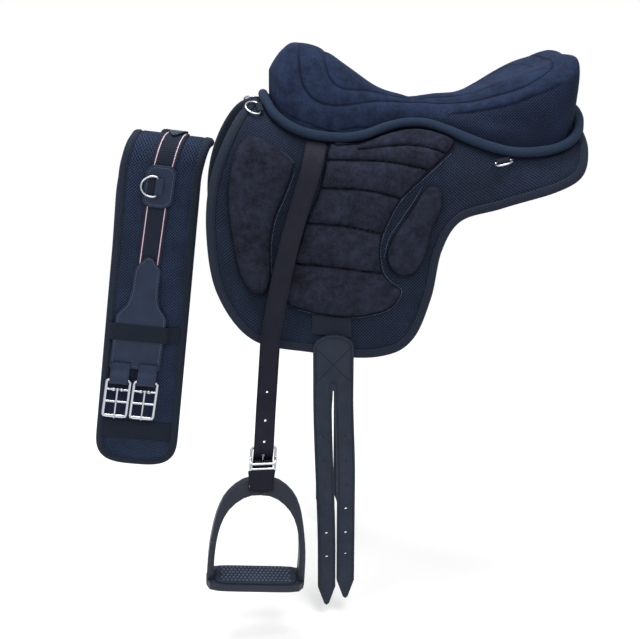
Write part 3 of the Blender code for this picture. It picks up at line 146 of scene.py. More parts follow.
def curve_through(points: Sequence[Sequence[float]], closed: bool, step: float) -> Array:
    """A Catmull-Rom curve through a few points, cut into even steps.

    Args:
        points: The points it passes through.
        closed: Whether it returns to the first.
        step: Spacing in metres.

    Returns:
        Points along the curve.
    """
    pts = np.array(points, float)
    n = len(pts)
    first = np.arange(n if closed else n - 1)
    pick = (lambda i: pts[i % n]) if closed else (lambda i: pts[np.clip(i, 0, n - 1)])
    a, b, c, d = (pick(first + k)[:, None] for k in (-1, 0, 1, 2))
    t = np.linspace(0.0, 1.0, 16, endpoint=False)[None, :, None]
    spans = 0.5 * (2 * b + (c - a) * t + (2 * a - 5 * b + 4 * c - d) * t ** 2
                   + (3 * b - a - 3 * c + d) * t ** 3)
    line = spans.reshape(-1, pts.shape[1])
    return resample(line if closed else np.vstack([line, pts[-1:]]), step, closed)


def spread(count: int, gather: float) -> Array:
    """Shares from 0 to 1 that gather at both ends: t - g sin(2 pi t) / (2 pi)."""
    t = np.linspace(0.0, 1.0, count)
    return t - gather * np.sin(2 * np.pi * t) / (2 * np.pi)


def along_line(line: Array, shares: Array) -> Array:
    """Points of a polyline at shares of its length."""
    at = lengths(line)
    return np.stack([np.interp(shares * at[-1], at, line[:, k]) for k in range(line.shape[1])], -1)


def edge_distance(points: Array, line: Array, closed: bool = True) -> Array:
    """Distance of flat or solid points to a polyline.

    Args:
        points: (..., k) places.
        line: (n, k) corners.
        closed: Whether the line is a loop.

    Returns:
        The least distance to any of its segments.
    """
    flat = points.reshape(-1, points.shape[-1])
    a = line if closed else line[:-1]
    run = (np.roll(line, -1, axis=0) if closed else line[1:]) - a
    size = np.maximum((run ** 2).sum(-1), 1e-18)
    best = np.empty(len(flat))
    for start in range(0, len(flat), 4000):
        part = flat[start:start + 4000, None]
        t = np.clip(((part - a) * run).sum(-1) / size, 0.0, 1.0)
        best[start:start + 4000] = np.linalg.norm(part - a - t[..., None] * run, axis=-1).min(1)
    return best.reshape(points.shape[:-1])


def pillow_grid(outline: Array, poles: tuple[Sequence[float], Sequence[float]], rows: int,
                columns: int) -> tuple[Array, Array]:
    """A grid over a closed outline: each row runs from its one bank to the other.

    P(v, u) = left(v) (1 - u) + right(v) u, with both banks cut at the two poles, and rows and
    columns gathered towards the edge, where the padding rolls over.

    Args:
        outline: Closed loop, (n, 2).
        poles: The two places where the banks meet.
        rows: Number of rows.
        columns: Number of columns.

    Returns:
        The grid, (rows, columns, 2), and each place's distance to the outline.
    """
    a, b = (int(np.argmin(np.linalg.norm(outline - np.array(p), axis=1))) for p in poles)
    turned = np.roll(outline, -a, axis=0)
    split = (b - a) % len(outline)
    left = along_line(turned[:split + 1], spread(rows, 0.9))
    right = along_line(np.vstack([turned[:1], turned[:split - 1:-1]]), spread(rows, 0.9))
    u = spread(columns, 0.88)[None, :, None]
    grid = left[:, None] * (1 - u) + right[:, None] * u
    return grid, edge_distance(grid, outline)


def quads(rows: int, columns: int, wrap_rows: bool = False, wrap_columns: bool = False) -> Array:
    """Faces of a grid of points, row by row.

    Args:
        rows: Number of rows of points.
        columns: Number of points in a row.
        wrap_rows: Whether the last row joins the first.
        wrap_columns: Whether the last column joins the first.

    Returns:
        Point numbers, (n, 4).
    """
    r = np.arange(rows if wrap_rows else rows - 1)[:, None]
    c = np.arange(columns if wrap_columns else columns - 1)[None, :]
    r2, c2 = (r + 1) % rows, (c + 1) % columns
    return np.stack(np.broadcast_arrays(r * columns + c, r * columns + c2, r2 * columns + c2,
                                        r2 * columns + c), -1).reshape(-1, 4)


def grid_normals(points: Array) -> Array:
    """Unit normals of a grid of points, from the cross product of its two runs."""
    across, down = np.gradient(points, axis=1), np.gradient(points, axis=0)
    normal = np.cross(across, down)
    return normal / np.maximum(np.linalg.norm(normal, axis=-1, keepdims=True), 1e-12)


def quarter(d: Array, width: float) -> Array:
    """Rise of a quarter circle, 0 at the edge and 1 from a width on: sqrt(1 - (1 - d/w)^2)."""
    return np.sqrt(1 - (1 - np.clip(d / width, 0.0, 1.0)) ** 2)


def groove(d: Array, width: float) -> Array:
    """Dip of a stitched line, 1 on the line and fading over a width: exp(-(d/w)^2)."""
    return np.exp(-(d / width) ** 2)


# ---------------------------------------------------------------------------------------------
# Meshes


@dataclass
class Shell:
    """Points and faces on their way to one mesh."""

    points: list[Array] = field(default_factory=list)
    faces: list[Array] = field(default_factory=list)
    uvs: list[Array] = field(default_factory=list)
    edges: list[Array] = field(default_factory=list)
    slots: list[Array] = field(default_factory=list)
    count: int = 0

    def add(self, points: Array, faces: Array, uv: Array, edge: Array | float = 0.05,
            slot: Array | int = 0) -> None:
        """Add a patch.

        Args:
            points: (..., 3) places.
            faces: (n, 3 or 4) numbers into them.
            uv: (..., 2) flat pattern places in metres.
            edge: Distance to the piece's edge or seam, for edge paint and painted shade along it.
            slot: Material number of the faces.
        """
        flat = points.reshape(-1, 3)
        self.points.append(flat)
        self.faces.append(faces + self.count)
        self.uvs.append(np.broadcast_to(uv, points.shape[:-1] + (2,)).reshape(-1, 2))
        self.edges.append(np.broadcast_to(edge, points.shape[:-1]).reshape(-1))
        self.slots.append(np.broadcast_to(slot, (len(faces),)))
        self.count += len(flat)

    def closed_sheet(self, place: Place, grid: Array, low: Array, high: Array, edge: Array,
                     slot: int = 0) -> None:
        """A sheet with a top, an underside and a wall round its rim.

        Args:
            place: Surface that it is laid on.
            grid: (rows, columns, 2) flat places.
            low: Height of the underside at each place.
            high: Height of the top.
            edge: Distance to the edge.
            slot: Material number.
        """
        rows, columns = grid.shape[:2]
        u, v = grid[..., 0], grid[..., 1]
        top, under = place(u, v, high), place(u, v, low)
        faces = quads(rows, columns)
        self.add(top, faces, grid, edge, slot)
        self.add(under, faces[:, ::-1], grid, edge, slot)
        numbers = np.arange(rows * columns).reshape(rows, columns)
        rim = np.concatenate([numbers[0], numbers[1:, -1], numbers[-1, -2::-1],
                              numbers[-2:0:-1, 0]])
        self.add(np.stack([top.reshape(-1, 3)[rim], under.reshape(-1, 3)[rim]]),
                 quads(2, len(rim), wrap_columns=True),
                 np.stack([grid.reshape(-1, 2)[rim]] * 2), 0.0, slot)

    def sweep(self, path: Array, profile: Array, up: Array, closed: bool = False,
              size: Array | None = None, slot: int = 0) -> None:
        """A closed profile carried along a path: P = path + side * px + normal * py.

        Args:
            path: (n, 3) points.
            profile: (m, 2) closed profile about the path.
            up: Normal direction at each point, or one for all.
            closed: Whether the path is a loop.
            size: Scale of the profile at each point; 0 closes an end.
            slot: Material number.
        """
        n = len(path)
        if closed:
            run = np.roll(path, -1, axis=0) - np.roll(path, 1, axis=0)
        else:
            run = np.gradient(path, axis=0)
        run = unit(run)
        side = unit(np.cross(run, np.broadcast_to(up, path.shape)))
        scaled = profile[None] * (1.0 if size is None else size[:, None, None])
        points = (path[:, None] + side[:, None] * scaled[..., :1]
                  + np.cross(side, run)[:, None] * scaled[..., 1:])
        uv = lattice(lengths(profile), lengths(path))[..., ::-1]
        self.add(points, quads(n, len(profile), closed, True), uv, slot=slot)

    def stitches(self, place: Place, line: Array, height: float, pitch: float = 0.0042,
                 length: float = 0.0029, radius: float = 0.00038, slot: int = 0,
                 closed: bool = False) -> None:
        """A run of thread stitches: one small six-sided capsule repeated along a flat line.

        Args:
            place: Surface that they lie on.
            line: (n, 2) flat line.
            height: Height of the surface that they are sewn to.
            pitch: Distance from one stitch to the next.
            length: Length of a stitch.
            radius: Radius of the thread.
            slot: Material number.
            closed: Whether the line is a loop.
        """
        at = resample(line, pitch, closed)
        h, step = np.full(len(at), height), 5e-4
        further = at + unit(np.gradient(at, axis=0)) * step
        centre = place(at[:, 0], at[:, 1], h)
        ahead = unit(place(further[:, 0], further[:, 1], h) - centre)
        out = unit(place(at[:, 0], at[:, 1], h + step) - centre)
        x = np.array([-0.5, -0.36, 0.36, 0.5]) * length
        r = np.array([0.25, 1.0, 1.0, 0.25]) * radius
        ring = np.concatenate([np.broadcast_to(x[:, None, None], (4, 6, 1)),
                               r[:, None, None] * circle(1.0, 6) + (0.0, radius * 0.3)], -1)
        axes = np.stack([ahead, np.cross(out, ahead), out], 1)
        points = centre[:, None] + ring.reshape(-1, 3) @ axes
        body = quads(4, 6, wrap_columns=True)
        caps = np.array([[0, 1, 2, 3], [0, 3, 4, 5], [18, 21, 20, 19], [18, 23, 22, 21]])
        one = np.vstack([body, caps])
        faces = (np.arange(len(at))[:, None, None] * 24 + one).reshape(-1, 4)
        self.add(points, faces, np.zeros((len(at), 24, 2)), slot=slot)

    def build(self, name: str, finishes: Sequence["Finish"], sharp: float = 50.0,
              closed: bool = True) -> bpy.types.Object:
        """Make the object: doubles merged, faces outward, smooth with sharp corners kept.

        Args:
            name: Name of the piece.
            finishes: Its finishes, by slot number.
            sharp: Angle in degrees past which an edge stays sharp.
            closed: Whether its faces make closed shells, to be turned outward.

        Returns:
            The object, at the origin.
        """
        mesh = bpy.data.meshes.new(name)
        faces = [row for part in self.faces for row in part.tolist()]
        mesh.from_pydata(np.vstack(self.points).tolist(), [], faces)
        corner = np.empty(len(mesh.loops), np.int32)
        mesh.loops.foreach_get("vertex_index", corner)
        layer = mesh.uv_layers.new(name="pattern")
        layer.data.foreach_set("uv", np.vstack(self.uvs)[corner].astype(np.float32).ravel())
        edge = mesh.attributes.new("edge", "FLOAT", "POINT")
        edge.data.foreach_set("value", np.concatenate(self.edges).astype(np.float32))
        mesh.polygons.foreach_set("material_index", np.concatenate(self.slots).astype(np.int32))
        for finish in finishes:
            mesh.materials.append(finish.material())
        work = bmesh.new()
        work.from_mesh(mesh)
        bmesh.ops.remove_doubles(work, verts=work.verts, dist=1e-6)
        bmesh.ops.dissolve_degenerate(work, edges=work.edges, dist=1e-7)
        if closed:
            bmesh.ops.recalc_face_normals(work, faces=work.faces)
        work.to_mesh(mesh)
        work.free()
        mesh.shade_smooth()
        mesh.set_sharp_from_angle(angle=math.radians(sharp))
        made = bpy.data.objects.new(name, mesh)
        bpy.context.scene.collection.objects.link(made)
        return made


def circle(radius: float, sides: int = 16, power: float = 1.0) -> Array:
    """A round profile, squarer where the power of its cosine and sine is under 1."""
    wave = unit_arc(0, 360, sides + 1)[:-1]
    return radius * np.sign(wave) * np.abs(wave) ** power


def punch(grid: Array, centres: Array, radius: float) -> tuple[Array, Array]:
    """Round holes in a flat grid whose rows and columns pass radius/2 apart by each centre.

    A square ring of places at distance c moves onto a circle, p = p c / |p|, and the move fades
    out to twice the radius.

    Args:
        grid: (rows, columns, 2) flat places.
        centres: (n, 2) centres.
        radius: Radius of the holes.

    Returns:
        The moved grid, and for each cell whether it is kept.
    """
    moved = grid.copy()
    keep = np.ones((grid.shape[0] - 1, grid.shape[1] - 1), bool)
    middle = (grid[:-1, :-1] + grid[1:, 1:] + grid[:-1, 1:] + grid[1:, :-1]) / 4
    for centre in centres:
        away = grid - centre
        square = np.abs(away).max(-1)
        round_ = np.maximum(np.linalg.norm(away, axis=-1), 1e-9)
        share = np.clip((2 * radius - square) / radius, 0.0, 1.0)
        factor = 1 + (square / round_ - 1) * share
        near = square < 2 * radius
        moved[near] = (centre + away * factor[..., None])[near]
        keep &= np.abs(middle - centre).max(-1) > radius * 0.98
    return moved, keep


def strap(name: str, points: Array, uv: Array, edge: Array, thickness: float,
          finish: "Finish", keep: Array | None = None, bevel: float = 0.0006,
          more: Sequence[tuple[Array, Array, Array, Array | None]] = ()) -> bpy.types.Object:
    """A flat strap from its middle surface, with a Solidify wall and a small round on its edges.

    Args:
        name: Name of the piece.
        points: (rows, columns, 3) places of the middle surface.
        uv: (rows, columns, 2) flat places.
        edge: Distance to the edge.
        thickness: Full thickness.
        finish: Its finish.
        keep: Which cells are kept, where it is slotted or punched.
        bevel: Radius of the rounded edge.
        more: Further patches of the same piece, as points, uv, edge and keep.

    Returns:
        The object.
    """
    shell = Shell()
    for patch, flat, rim, cells in [(points, uv, edge, keep), *more]:
        faces = quads(*patch.shape[:2])
        if cells is not None:
            faces = faces[cells.reshape(-1)]
        shell.add(patch, faces, flat, rim)
    made = shell.build(name, [finish], closed=False)
    wall = made.modifiers.new("wall", "SOLIDIFY")
    wall.thickness = thickness
    wall.offset = 0.0
    wall.use_even_offset = True
    soft = made.modifiers.new("rounded_edge", "BEVEL")
    soft.width = bevel
    soft.segments = 2
    soft.limit_method = "ANGLE"
    soft.angle_limit = math.radians(60)
    return made


def places_of(mesh: bpy.types.Mesh) -> Array:
    """Its vertices' places, (n, 3)."""
    places = np.empty(len(mesh.vertices) * 3)
    mesh.vertices.foreach_get("co", places)
    return places.reshape(-1, 3)


def pressed_out(points: Array, faces: Array, held: Callable[[Array], Array], cap: float,
                pressure: float = 4.0, voxel: float = 0.005) -> Array:
    """Points of a padded piece after its filling has pressed the cloth out.

    A voxel copy of the piece is simulated as cloth under pressure, and its movement, capped, is
    carried back to the points by the distance-weighted mean of their near neighbours.

    Args:
        points: (n, 3) points of the closed piece.
        faces: Its faces.
        held: Gives from (n, 3) places which of them stay, such as those that lie on the base.
        cap: Longest movement.
        pressure: Pressure of the filling.
        voxel: Size of the copy's cells.

    Returns:
        The moved points.
    """
    mesh = bpy.data.meshes.new("fill")
    mesh.from_pydata(points.tolist(), [], faces.tolist())
    work = bmesh.new()
    work.from_mesh(mesh)
    bmesh.ops.remove_doubles(work, verts=work.verts, dist=1e-5)
    bmesh.ops.recalc_face_normals(work, faces=work.faces)
    work.to_mesh(mesh)
    work.free()
    body = bpy.data.objects.new("fill", mesh)
    bpy.context.scene.collection.objects.link(body)
    remesh = body.modifiers.new("cells", "REMESH")
    remesh.mode = "VOXEL"
    remesh.voxel_size = voxel
    graph = bpy.context.evaluated_depsgraph_get()
    cells = bpy.data.meshes.new_from_object(body.evaluated_get(graph))
    body.modifiers.clear()
    body.data = cells
    rest = places_of(cells)
    group = body.vertex_groups.new(name="held")
    group.add(np.flatnonzero(held(rest)).tolist(), 1.0, "REPLACE")
    cloth = body.modifiers.new("press", "CLOTH")
    for setting, value in {
            "quality": 5, "mass": 0.3, "tension_stiffness": 15, "compression_stiffness": 15,
            "bending_stiffness": 2, "vertex_group_mass": "held", "use_pressure": True,
            "uniform_pressure_force": pressure}.items():
        setattr(cloth.settings, setting, value)
    cloth.settings.effector_weights.gravity = 0.0
    cloth.point_cache.frame_start, cloth.point_cache.frame_end = 1, 20
    scene = bpy.context.scene
    for number in range(1, 21):
        scene.frame_set(number)
    graph = bpy.context.evaluated_depsgraph_get()
    move = places_of(body.evaluated_get(graph).to_mesh()) - rest
    size = np.linalg.norm(move, axis=1, keepdims=True)
    move *= np.minimum(1.0, cap / np.maximum(size, 1e-9))
    scene.frame_set(1)
    bpy.data.objects.remove(body, do_unlink=True)
    moved = np.empty_like(points)
    for start in range(0, len(points), 1500):
        part = points[start:start + 1500]
        away = np.linalg.norm(part[:, None] - rest[None], axis=-1)
        near = np.argpartition(away, 12, axis=1)[:, :12]
        weight = 1 / (np.take_along_axis(away, near, 1) ** 2 + (0.6 * voxel) ** 2)
        weight /= weight.sum(1, keepdims=True)
        moved[start:start + 1500] = part + (move[near] * weight[..., None]).sum(1)
    return moved


# ---------------------------------------------------------------------------------------------
# Finishes


def linear_colour(hex_code: str, scale: float = 1.0) -> tuple[float, float, float, float]:
    """Linear RGBA of an sRGB hex colour.

    Args:
        hex_code: Six digits.
        scale: Factor on the sRGB value.

    Returns:
        The four channels.
    """
    srgb = [min(1.0, int(hex_code[k:k + 2], 16) / 255 * scale) for k in (0, 2, 4)]
    rgb = [c / 12.92 if c <= 0.04045 else ((c + 0.055) / 1.055) ** 2.4 for c in srgb]
    return rgb[0], rgb[1], rgb[2], 1.0


def add_node(tree: bpy.types.NodeTree, kind: str, settings: dict | None = None,
             inputs: dict | None = None) -> bpy.types.Node:
    """Add a node, set its properties and fill or link its inputs.

    Args:
        tree: Node tree.
        kind: Node type.
        settings: Properties by name.
        inputs: Values, or sockets to link from, by input name or number.

    Returns:
        The node.
    """
    node = tree.nodes.new(kind)
    for key, value in (settings or {}).items():
        setattr(node, key, value)
    for key, value in (inputs or {}).items():
        if isinstance(value, bpy.types.NodeSocket):
            tree.links.new(value, node.inputs[key])
        else:
            node.inputs[key].default_value = value
    return node


def ramp(tree: bpy.types.NodeTree, source: bpy.types.NodeSocket,
         stops: Sequence[tuple[float, tuple[float, float, float, float]]]) -> bpy.types.NodeSocket:
    """Colour of a ramp with the given stops, read from a socket."""
    node = add_node(tree, "ShaderNodeValToRGB", inputs={"Fac": source})
    elements = node.color_ramp.elements
    while len(elements) < len(stops):
        elements.new(0.5)
    for element, (at, colour) in zip(elements, stops):
        element.position = at
        element.color = colour
    return node.outputs["Color"]


def grey(level: float) -> tuple[float, float, float, float]:
    """A grey for a ramp that carries a number."""
    return level, level, level, 1.0


@dataclass(frozen=True)
class Finish:
    """A real material: its name, sRGB colour and how it takes light."""

    name: str
    colour: str
    roughness: float
    metallic: float = 0.0
    sheen: float = 0.0
    specular: float = 0.5
    rim: ClassVar[float] = 0.006

    def material(self) -> bpy.types.Material:
        """The Blender material, made on its first use."""
        found = bpy.data.materials.get(self.name)
        if found:
            return found
        made = bpy.data.materials.new(self.name)
        made.use_nodes = True
        tree = made.node_tree
        shader = tree.nodes["Principled BSDF"]
        for socket, value in {
                "Base Color": linear_colour(self.colour), "Roughness": self.roughness,
                "Metallic": self.metallic, "Specular IOR Level": self.specular,
                "Sheen Weight": self.sheen, "Sheen Roughness": 0.5,
                "Sheen Tint": linear_colour(self.colour, 2.2)}.items():
            shader.inputs[socket].default_value = value
        made.diffuse_color = linear_colour(self.colour)
        self.dress(tree, shader)
        return made

    def dress(self, tree: bpy.types.NodeTree, shader: bpy.types.Node) -> None:
        """Add the pattern to the shader; each kind of finish has its own."""

    def mottled(self, tree: bpy.types.NodeTree, source: bpy.types.NodeSocket, dark: float,
                light: float) -> bpy.types.NodeSocket:
        """The colour from a darker to a lighter tone along a 0 to 1 socket."""
        return ramp(tree, source, [(0.28, linear_colour(self.colour, dark)),
                                   (0.72, linear_colour(self.colour, light))])

    @staticmethod
    def noise(tree: bpy.types.NodeTree, scale: float, detail: float = 3.0,
              rough: float = 0.55) -> bpy.types.NodeSocket:
        """Noise on the piece's own place, with features 1/scale metres apart."""
        place = add_node(tree, "ShaderNodeTexCoord")
        return add_node(tree, "ShaderNodeTexNoise", inputs={
            "Vector": place.outputs["Object"], "Scale": scale, "Detail": detail,
            "Roughness": rough}).outputs["Fac"]

    def beside_edge(self, tree: bpy.types.NodeTree) -> bpy.types.NodeSocket:
        """Distance to the piece's edge or seam, 0 to 1 over the rim."""
        edge = add_node(tree, "ShaderNodeAttribute", {"attribute_name": "edge"})
        return add_node(tree, "ShaderNodeMath", {"operation": "DIVIDE"},
                        {0: edge.outputs["Fac"], 1: self.rim}).outputs[0]

    @staticmethod
    def darkened(tree: bpy.types.NodeTree, shader: bpy.types.Node, tone: bpy.types.NodeSocket,
                 lines: bpy.types.NodeSocket) -> None:
        """Tone times lines as the shader's colour."""
        mixed = add_node(tree, "ShaderNodeMix", {"data_type": "RGBA", "blend_type": "MULTIPLY"},
                         {0: 1.0, 6: tone, 7: lines})
        tree.links.new(mixed.outputs[2], shader.inputs["Base Color"])

    def worn(self, tree: bpy.types.NodeTree, shader: bpy.types.Node,
             cloud: bpy.types.NodeSocket, less: float, more: float) -> None:
        """Roughness that wanders below and above the finish's own."""
        rough = ramp(tree, cloud, [(0.3, grey(self.roughness - less)),
                                   (0.7, grey(self.roughness + more))])
        tree.links.new(rough, shader.inputs["Roughness"])

    @staticmethod
    def relief(tree: bpy.types.NodeTree, shader: bpy.types.Node, height: bpy.types.NodeSocket,
               depth: float, strength: float) -> None:
        """Bump from a height socket."""
        bump = add_node(tree, "ShaderNodeBump", inputs={"Height": height, "Distance": depth,
                                                        "Strength": strength})
        tree.links.new(bump.outputs["Normal"], shader.inputs["Normal"])


@dataclass(frozen=True)
class SpacerMesh(Finish):
    """Knitted polyester spacer fabric: small staggered holes of painted shade in a paler yarn."""

    pitch: float = 0.0034
    turn: float = 45.0
    # Share of the yarn's colour in the holes: their painted shade.
    hole: float = 0.24

    def dress(self, tree: bpy.types.NodeTree, shader: bpy.types.Node) -> None:
        """Holes from a square Voronoi grid turned on the flat pattern, dark with painted shade;
        real ones lie 2 mm apart and are drawn 3.4 mm apart, so that they show in the render."""
        place = add_node(tree, "ShaderNodeTexCoord")
        turned = add_node(tree, "ShaderNodeMapping", inputs={
            "Vector": place.outputs["UV"], "Rotation": (0.0, 0.0, math.radians(self.turn)),
            "Scale": (1 / self.pitch, 1 / self.pitch, 1.0)})
        cells = add_node(tree, "ShaderNodeTexVoronoi", {"voronoi_dimensions": "2D"}, {
            "Vector": turned.outputs["Vector"], "Scale": 1.0, "Randomness": 0.12})
        holes = ramp(tree, cells.outputs["Distance"], [(0.20, grey(0.0)), (0.46, grey(1.0))])
        cloud = self.mottled(tree, self.noise(tree, 22.0), 1.12, 1.50)
        # Painted shade: the holes take a dark copy of the yarn's colour.
        dark = linear_colour(self.colour, self.hole)
        mixed = add_node(tree, "ShaderNodeMix", {"data_type": "RGBA"},
                         {0: holes, 6: dark, 7: cloud})
        tree.links.new(mixed.outputs[2], shader.inputs["Base Color"])
        self.relief(tree, shader, holes, 0.0006, 0.8)


@dataclass(frozen=True)
class Suede(Finish):
    """Brushed microfibre suede: a soft nap with cloudy strokes, a pale sheen where it turns away
    and a dark line of painted shade along its seams and outline."""

    cloud: float = 0.30

    def dress(self, tree: bpy.types.NodeTree, shader: bpy.types.Node) -> None:
        """Nap strokes of 30 mm and 9 mm, tufts of 3 mm, and fibres drawn at 0.8 mm; the dark line
        of painted shade along seams and outline follows the edge attribute."""
        strokes = self.noise(tree, 40.0, 5.0, 0.68)
        patches = self.noise(tree, 130.0, 4.0, 0.62)
        tufts = self.noise(tree, 480.0, 3.0)
        both = add_node(tree, "ShaderNodeMath", {"operation": "MULTIPLY_ADD"},
                        {0: patches, 1: 0.55, 2: strokes})
        all_three = add_node(tree, "ShaderNodeMath", {"operation": "MULTIPLY_ADD"},
                             {0: tufts, 1: 0.60, 2: both.outputs[0]})
        less = add_node(tree, "ShaderNodeMath", {"operation": "SUBTRACT"},
                        {0: all_three.outputs[0], 1: 0.575})
        tone = self.mottled(tree, less.outputs[0], 1 - self.cloud, 1 + 1.15 * self.cloud)
        # Painted shade: darker within about 2.5 mm of a seam or the piece's outline, where shade
        # falls.
        seam = ramp(tree, self.beside_edge(tree), [(0.0, grey(0.36)), (0.15, grey(0.42)),
                                                   (0.42, grey(0.92)), (0.60, grey(1.0))])
        self.darkened(tree, shader, tone, seam)
        self.relief(tree, shader, less.outputs[0], 0.0008, 0.55)


@dataclass(frozen=True)
class Leather(Finish):
    """Dyed strap leather, waxed: fine pebbled grain, a creased line darkened with painted shade
    inside a darker burnished edge, and paler rub marks."""

    crease: float = 0.0026

    def dress(self, tree: bpy.types.NodeTree, shader: bpy.types.Node) -> None:
        """Grain of 0.7 mm drawn at 1.2 mm; the crease's painted shade and the burnish
        follow the edge.
        """
        place = add_node(tree, "ShaderNodeTexCoord")
        grain = add_node(tree, "ShaderNodeTexVoronoi", {"feature": "SMOOTH_F1"}, {
            "Vector": place.outputs["Object"], "Scale": 850.0}).outputs["Distance"]
        tone = self.mottled(tree, self.noise(tree, 42.0, 5.0, 0.6), 0.88, 1.14)
        at = self.crease / self.rim
        # Darker burnished edge, and at the crease a dark line of painted shade.
        lines = ramp(tree, self.beside_edge(tree), [
            (0.0, grey(0.55)), (0.16, grey(0.88)), (at - 0.09, grey(1.0)), (at, grey(0.30)),
            (at + 0.09, grey(1.0))])
        self.darkened(tree, shader, tone, lines)
        self.worn(tree, shader, self.noise(tree, 90.0, 4.0), 0.10, 0.08)
        total = add_node(tree, "ShaderNodeMath", {"operation": "MULTIPLY_ADD"},
                         {0: grain, 1: 0.35, 2: lines})
        self.relief(tree, shader, total.outputs[0], 0.0005, 0.5)


@dataclass(frozen=True)
class Woven(Finish):
    """Woven nylon or elastic: ribs across its length, and finer ones along it."""

    rib: float = 0.0021
    stripes: bool = False

    def dress(self, tree: bpy.types.NodeTree, shader: bpy.types.Node) -> None:
        """Ribs from sine bands on the flat pattern; the girth's web also has its two pale lines
        with a dark red thread beside each."""
        place = add_node(tree, "ShaderNodeTexCoord")
        parts = add_node(tree, "ShaderNodeSeparateXYZ", inputs={"Vector": place.outputs["UV"]})
        waves = []
        for name, pitch in (("Y", self.rib), ("X", self.rib * 1.3)):
            phase = add_node(tree, "ShaderNodeMath", {"operation": "MULTIPLY"},
                             {0: parts.outputs[name], 1: 2 * math.pi / pitch})
            waves.append(add_node(tree, "ShaderNodeMath", {"operation": "SINE"},
                                  {0: phase.outputs[0]}).outputs[0])
        weave = add_node(tree, "ShaderNodeMath", {"operation": "MULTIPLY_ADD"},
                         {0: waves[1], 1: 0.5, 2: waves[0]}).outputs[0]
        level = add_node(tree, "ShaderNodeMath", {"operation": "MULTIPLY_ADD"},
                         {0: weave, 1: 0.22, 2: 0.5}).outputs[0]
        colour = self.mottled(tree, level, 0.86, 1.14)
        if self.stripes:
            away = add_node(tree, "ShaderNodeMath", {"operation": "ABSOLUTE"},
                            {0: parts.outputs["X"]})
            share = add_node(tree, "ShaderNodeMath", {"operation": "DIVIDE"},
                             {0: away.outputs[0], 1: 0.020}).outputs[0]
            clear, on = (0.0, 0.0, 0.0, 1.0), (1.0, 1.0, 1.0, 1.0)
            thread = linear_colour("4A2430")
            pale = linear_colour("C3AFBC")
            band = ramp(tree, share, [(0.0, clear), (0.640, clear), (0.645, on), (0.775, on),
                                      (0.780, clear)])
            hue = ramp(tree, share, [(0.0, pale), (0.712, pale), (0.717, thread)])
            colour = add_node(tree, "ShaderNodeMix", {"data_type": "RGBA"},
                              {0: band, 6: colour, 7: hue}).outputs[2]
        tree.links.new(colour, shader.inputs["Base Color"])
        self.relief(tree, shader, weave, 0.00035, 0.5)


@dataclass(frozen=True)
class Moulded(Finish):
    """Injection-moulded composite or rubber: an even, faintly spark-eroded skin."""

    grain: float = 700.0

    def dress(self, tree: bpy.types.NodeTree, shader: bpy.types.Node) -> None:
        """Skin texture of about 1.4 mm, and cloudy wear that turns it a little matt."""
        tree.links.new(self.mottled(tree, self.noise(tree, 30.0, 4.0), 0.92, 1.12),
                       shader.inputs["Base Color"])
        self.worn(tree, shader, self.noise(tree, 60.0, 5.0), 0.06, 0.10)
        self.relief(tree, shader, self.noise(tree, self.grain, 2.0), 0.0003, 0.30)


@dataclass(frozen=True)
class PolishedSteel(Finish):
    """Polished stainless steel, cast and tumbled: bright, with faint hairlines in the gloss."""

    def dress(self, tree: bpy.types.NodeTree, shader: bpy.types.Node) -> None:
        """Gloss that varies over 4 mm clouds, and a cast skin a hair uneven."""
        self.worn(tree, shader, self.noise(tree, 260.0, 6.0, 0.7), 0.05, 0.09)
        self.relief(tree, shader, self.noise(tree, 180.0, 3.0), 0.0002, 0.15)


@dataclass(frozen=True)
class Thread(Finish):
    """Twisted polyester sewing thread: its plies catch the light in turn."""

    def dress(self, tree: bpy.types.NodeTree, shader: bpy.types.Node) -> None:
        """Plies of 0.5 mm, drawn at 1.1 mm so that they show."""
        plies = self.noise(tree, 900.0, 2.0)
        tree.links.new(self.mottled(tree, plies, 0.72, 1.30), shader.inputs["Base Color"])
        self.relief(tree, shader, plies, 0.0002, 0.4)


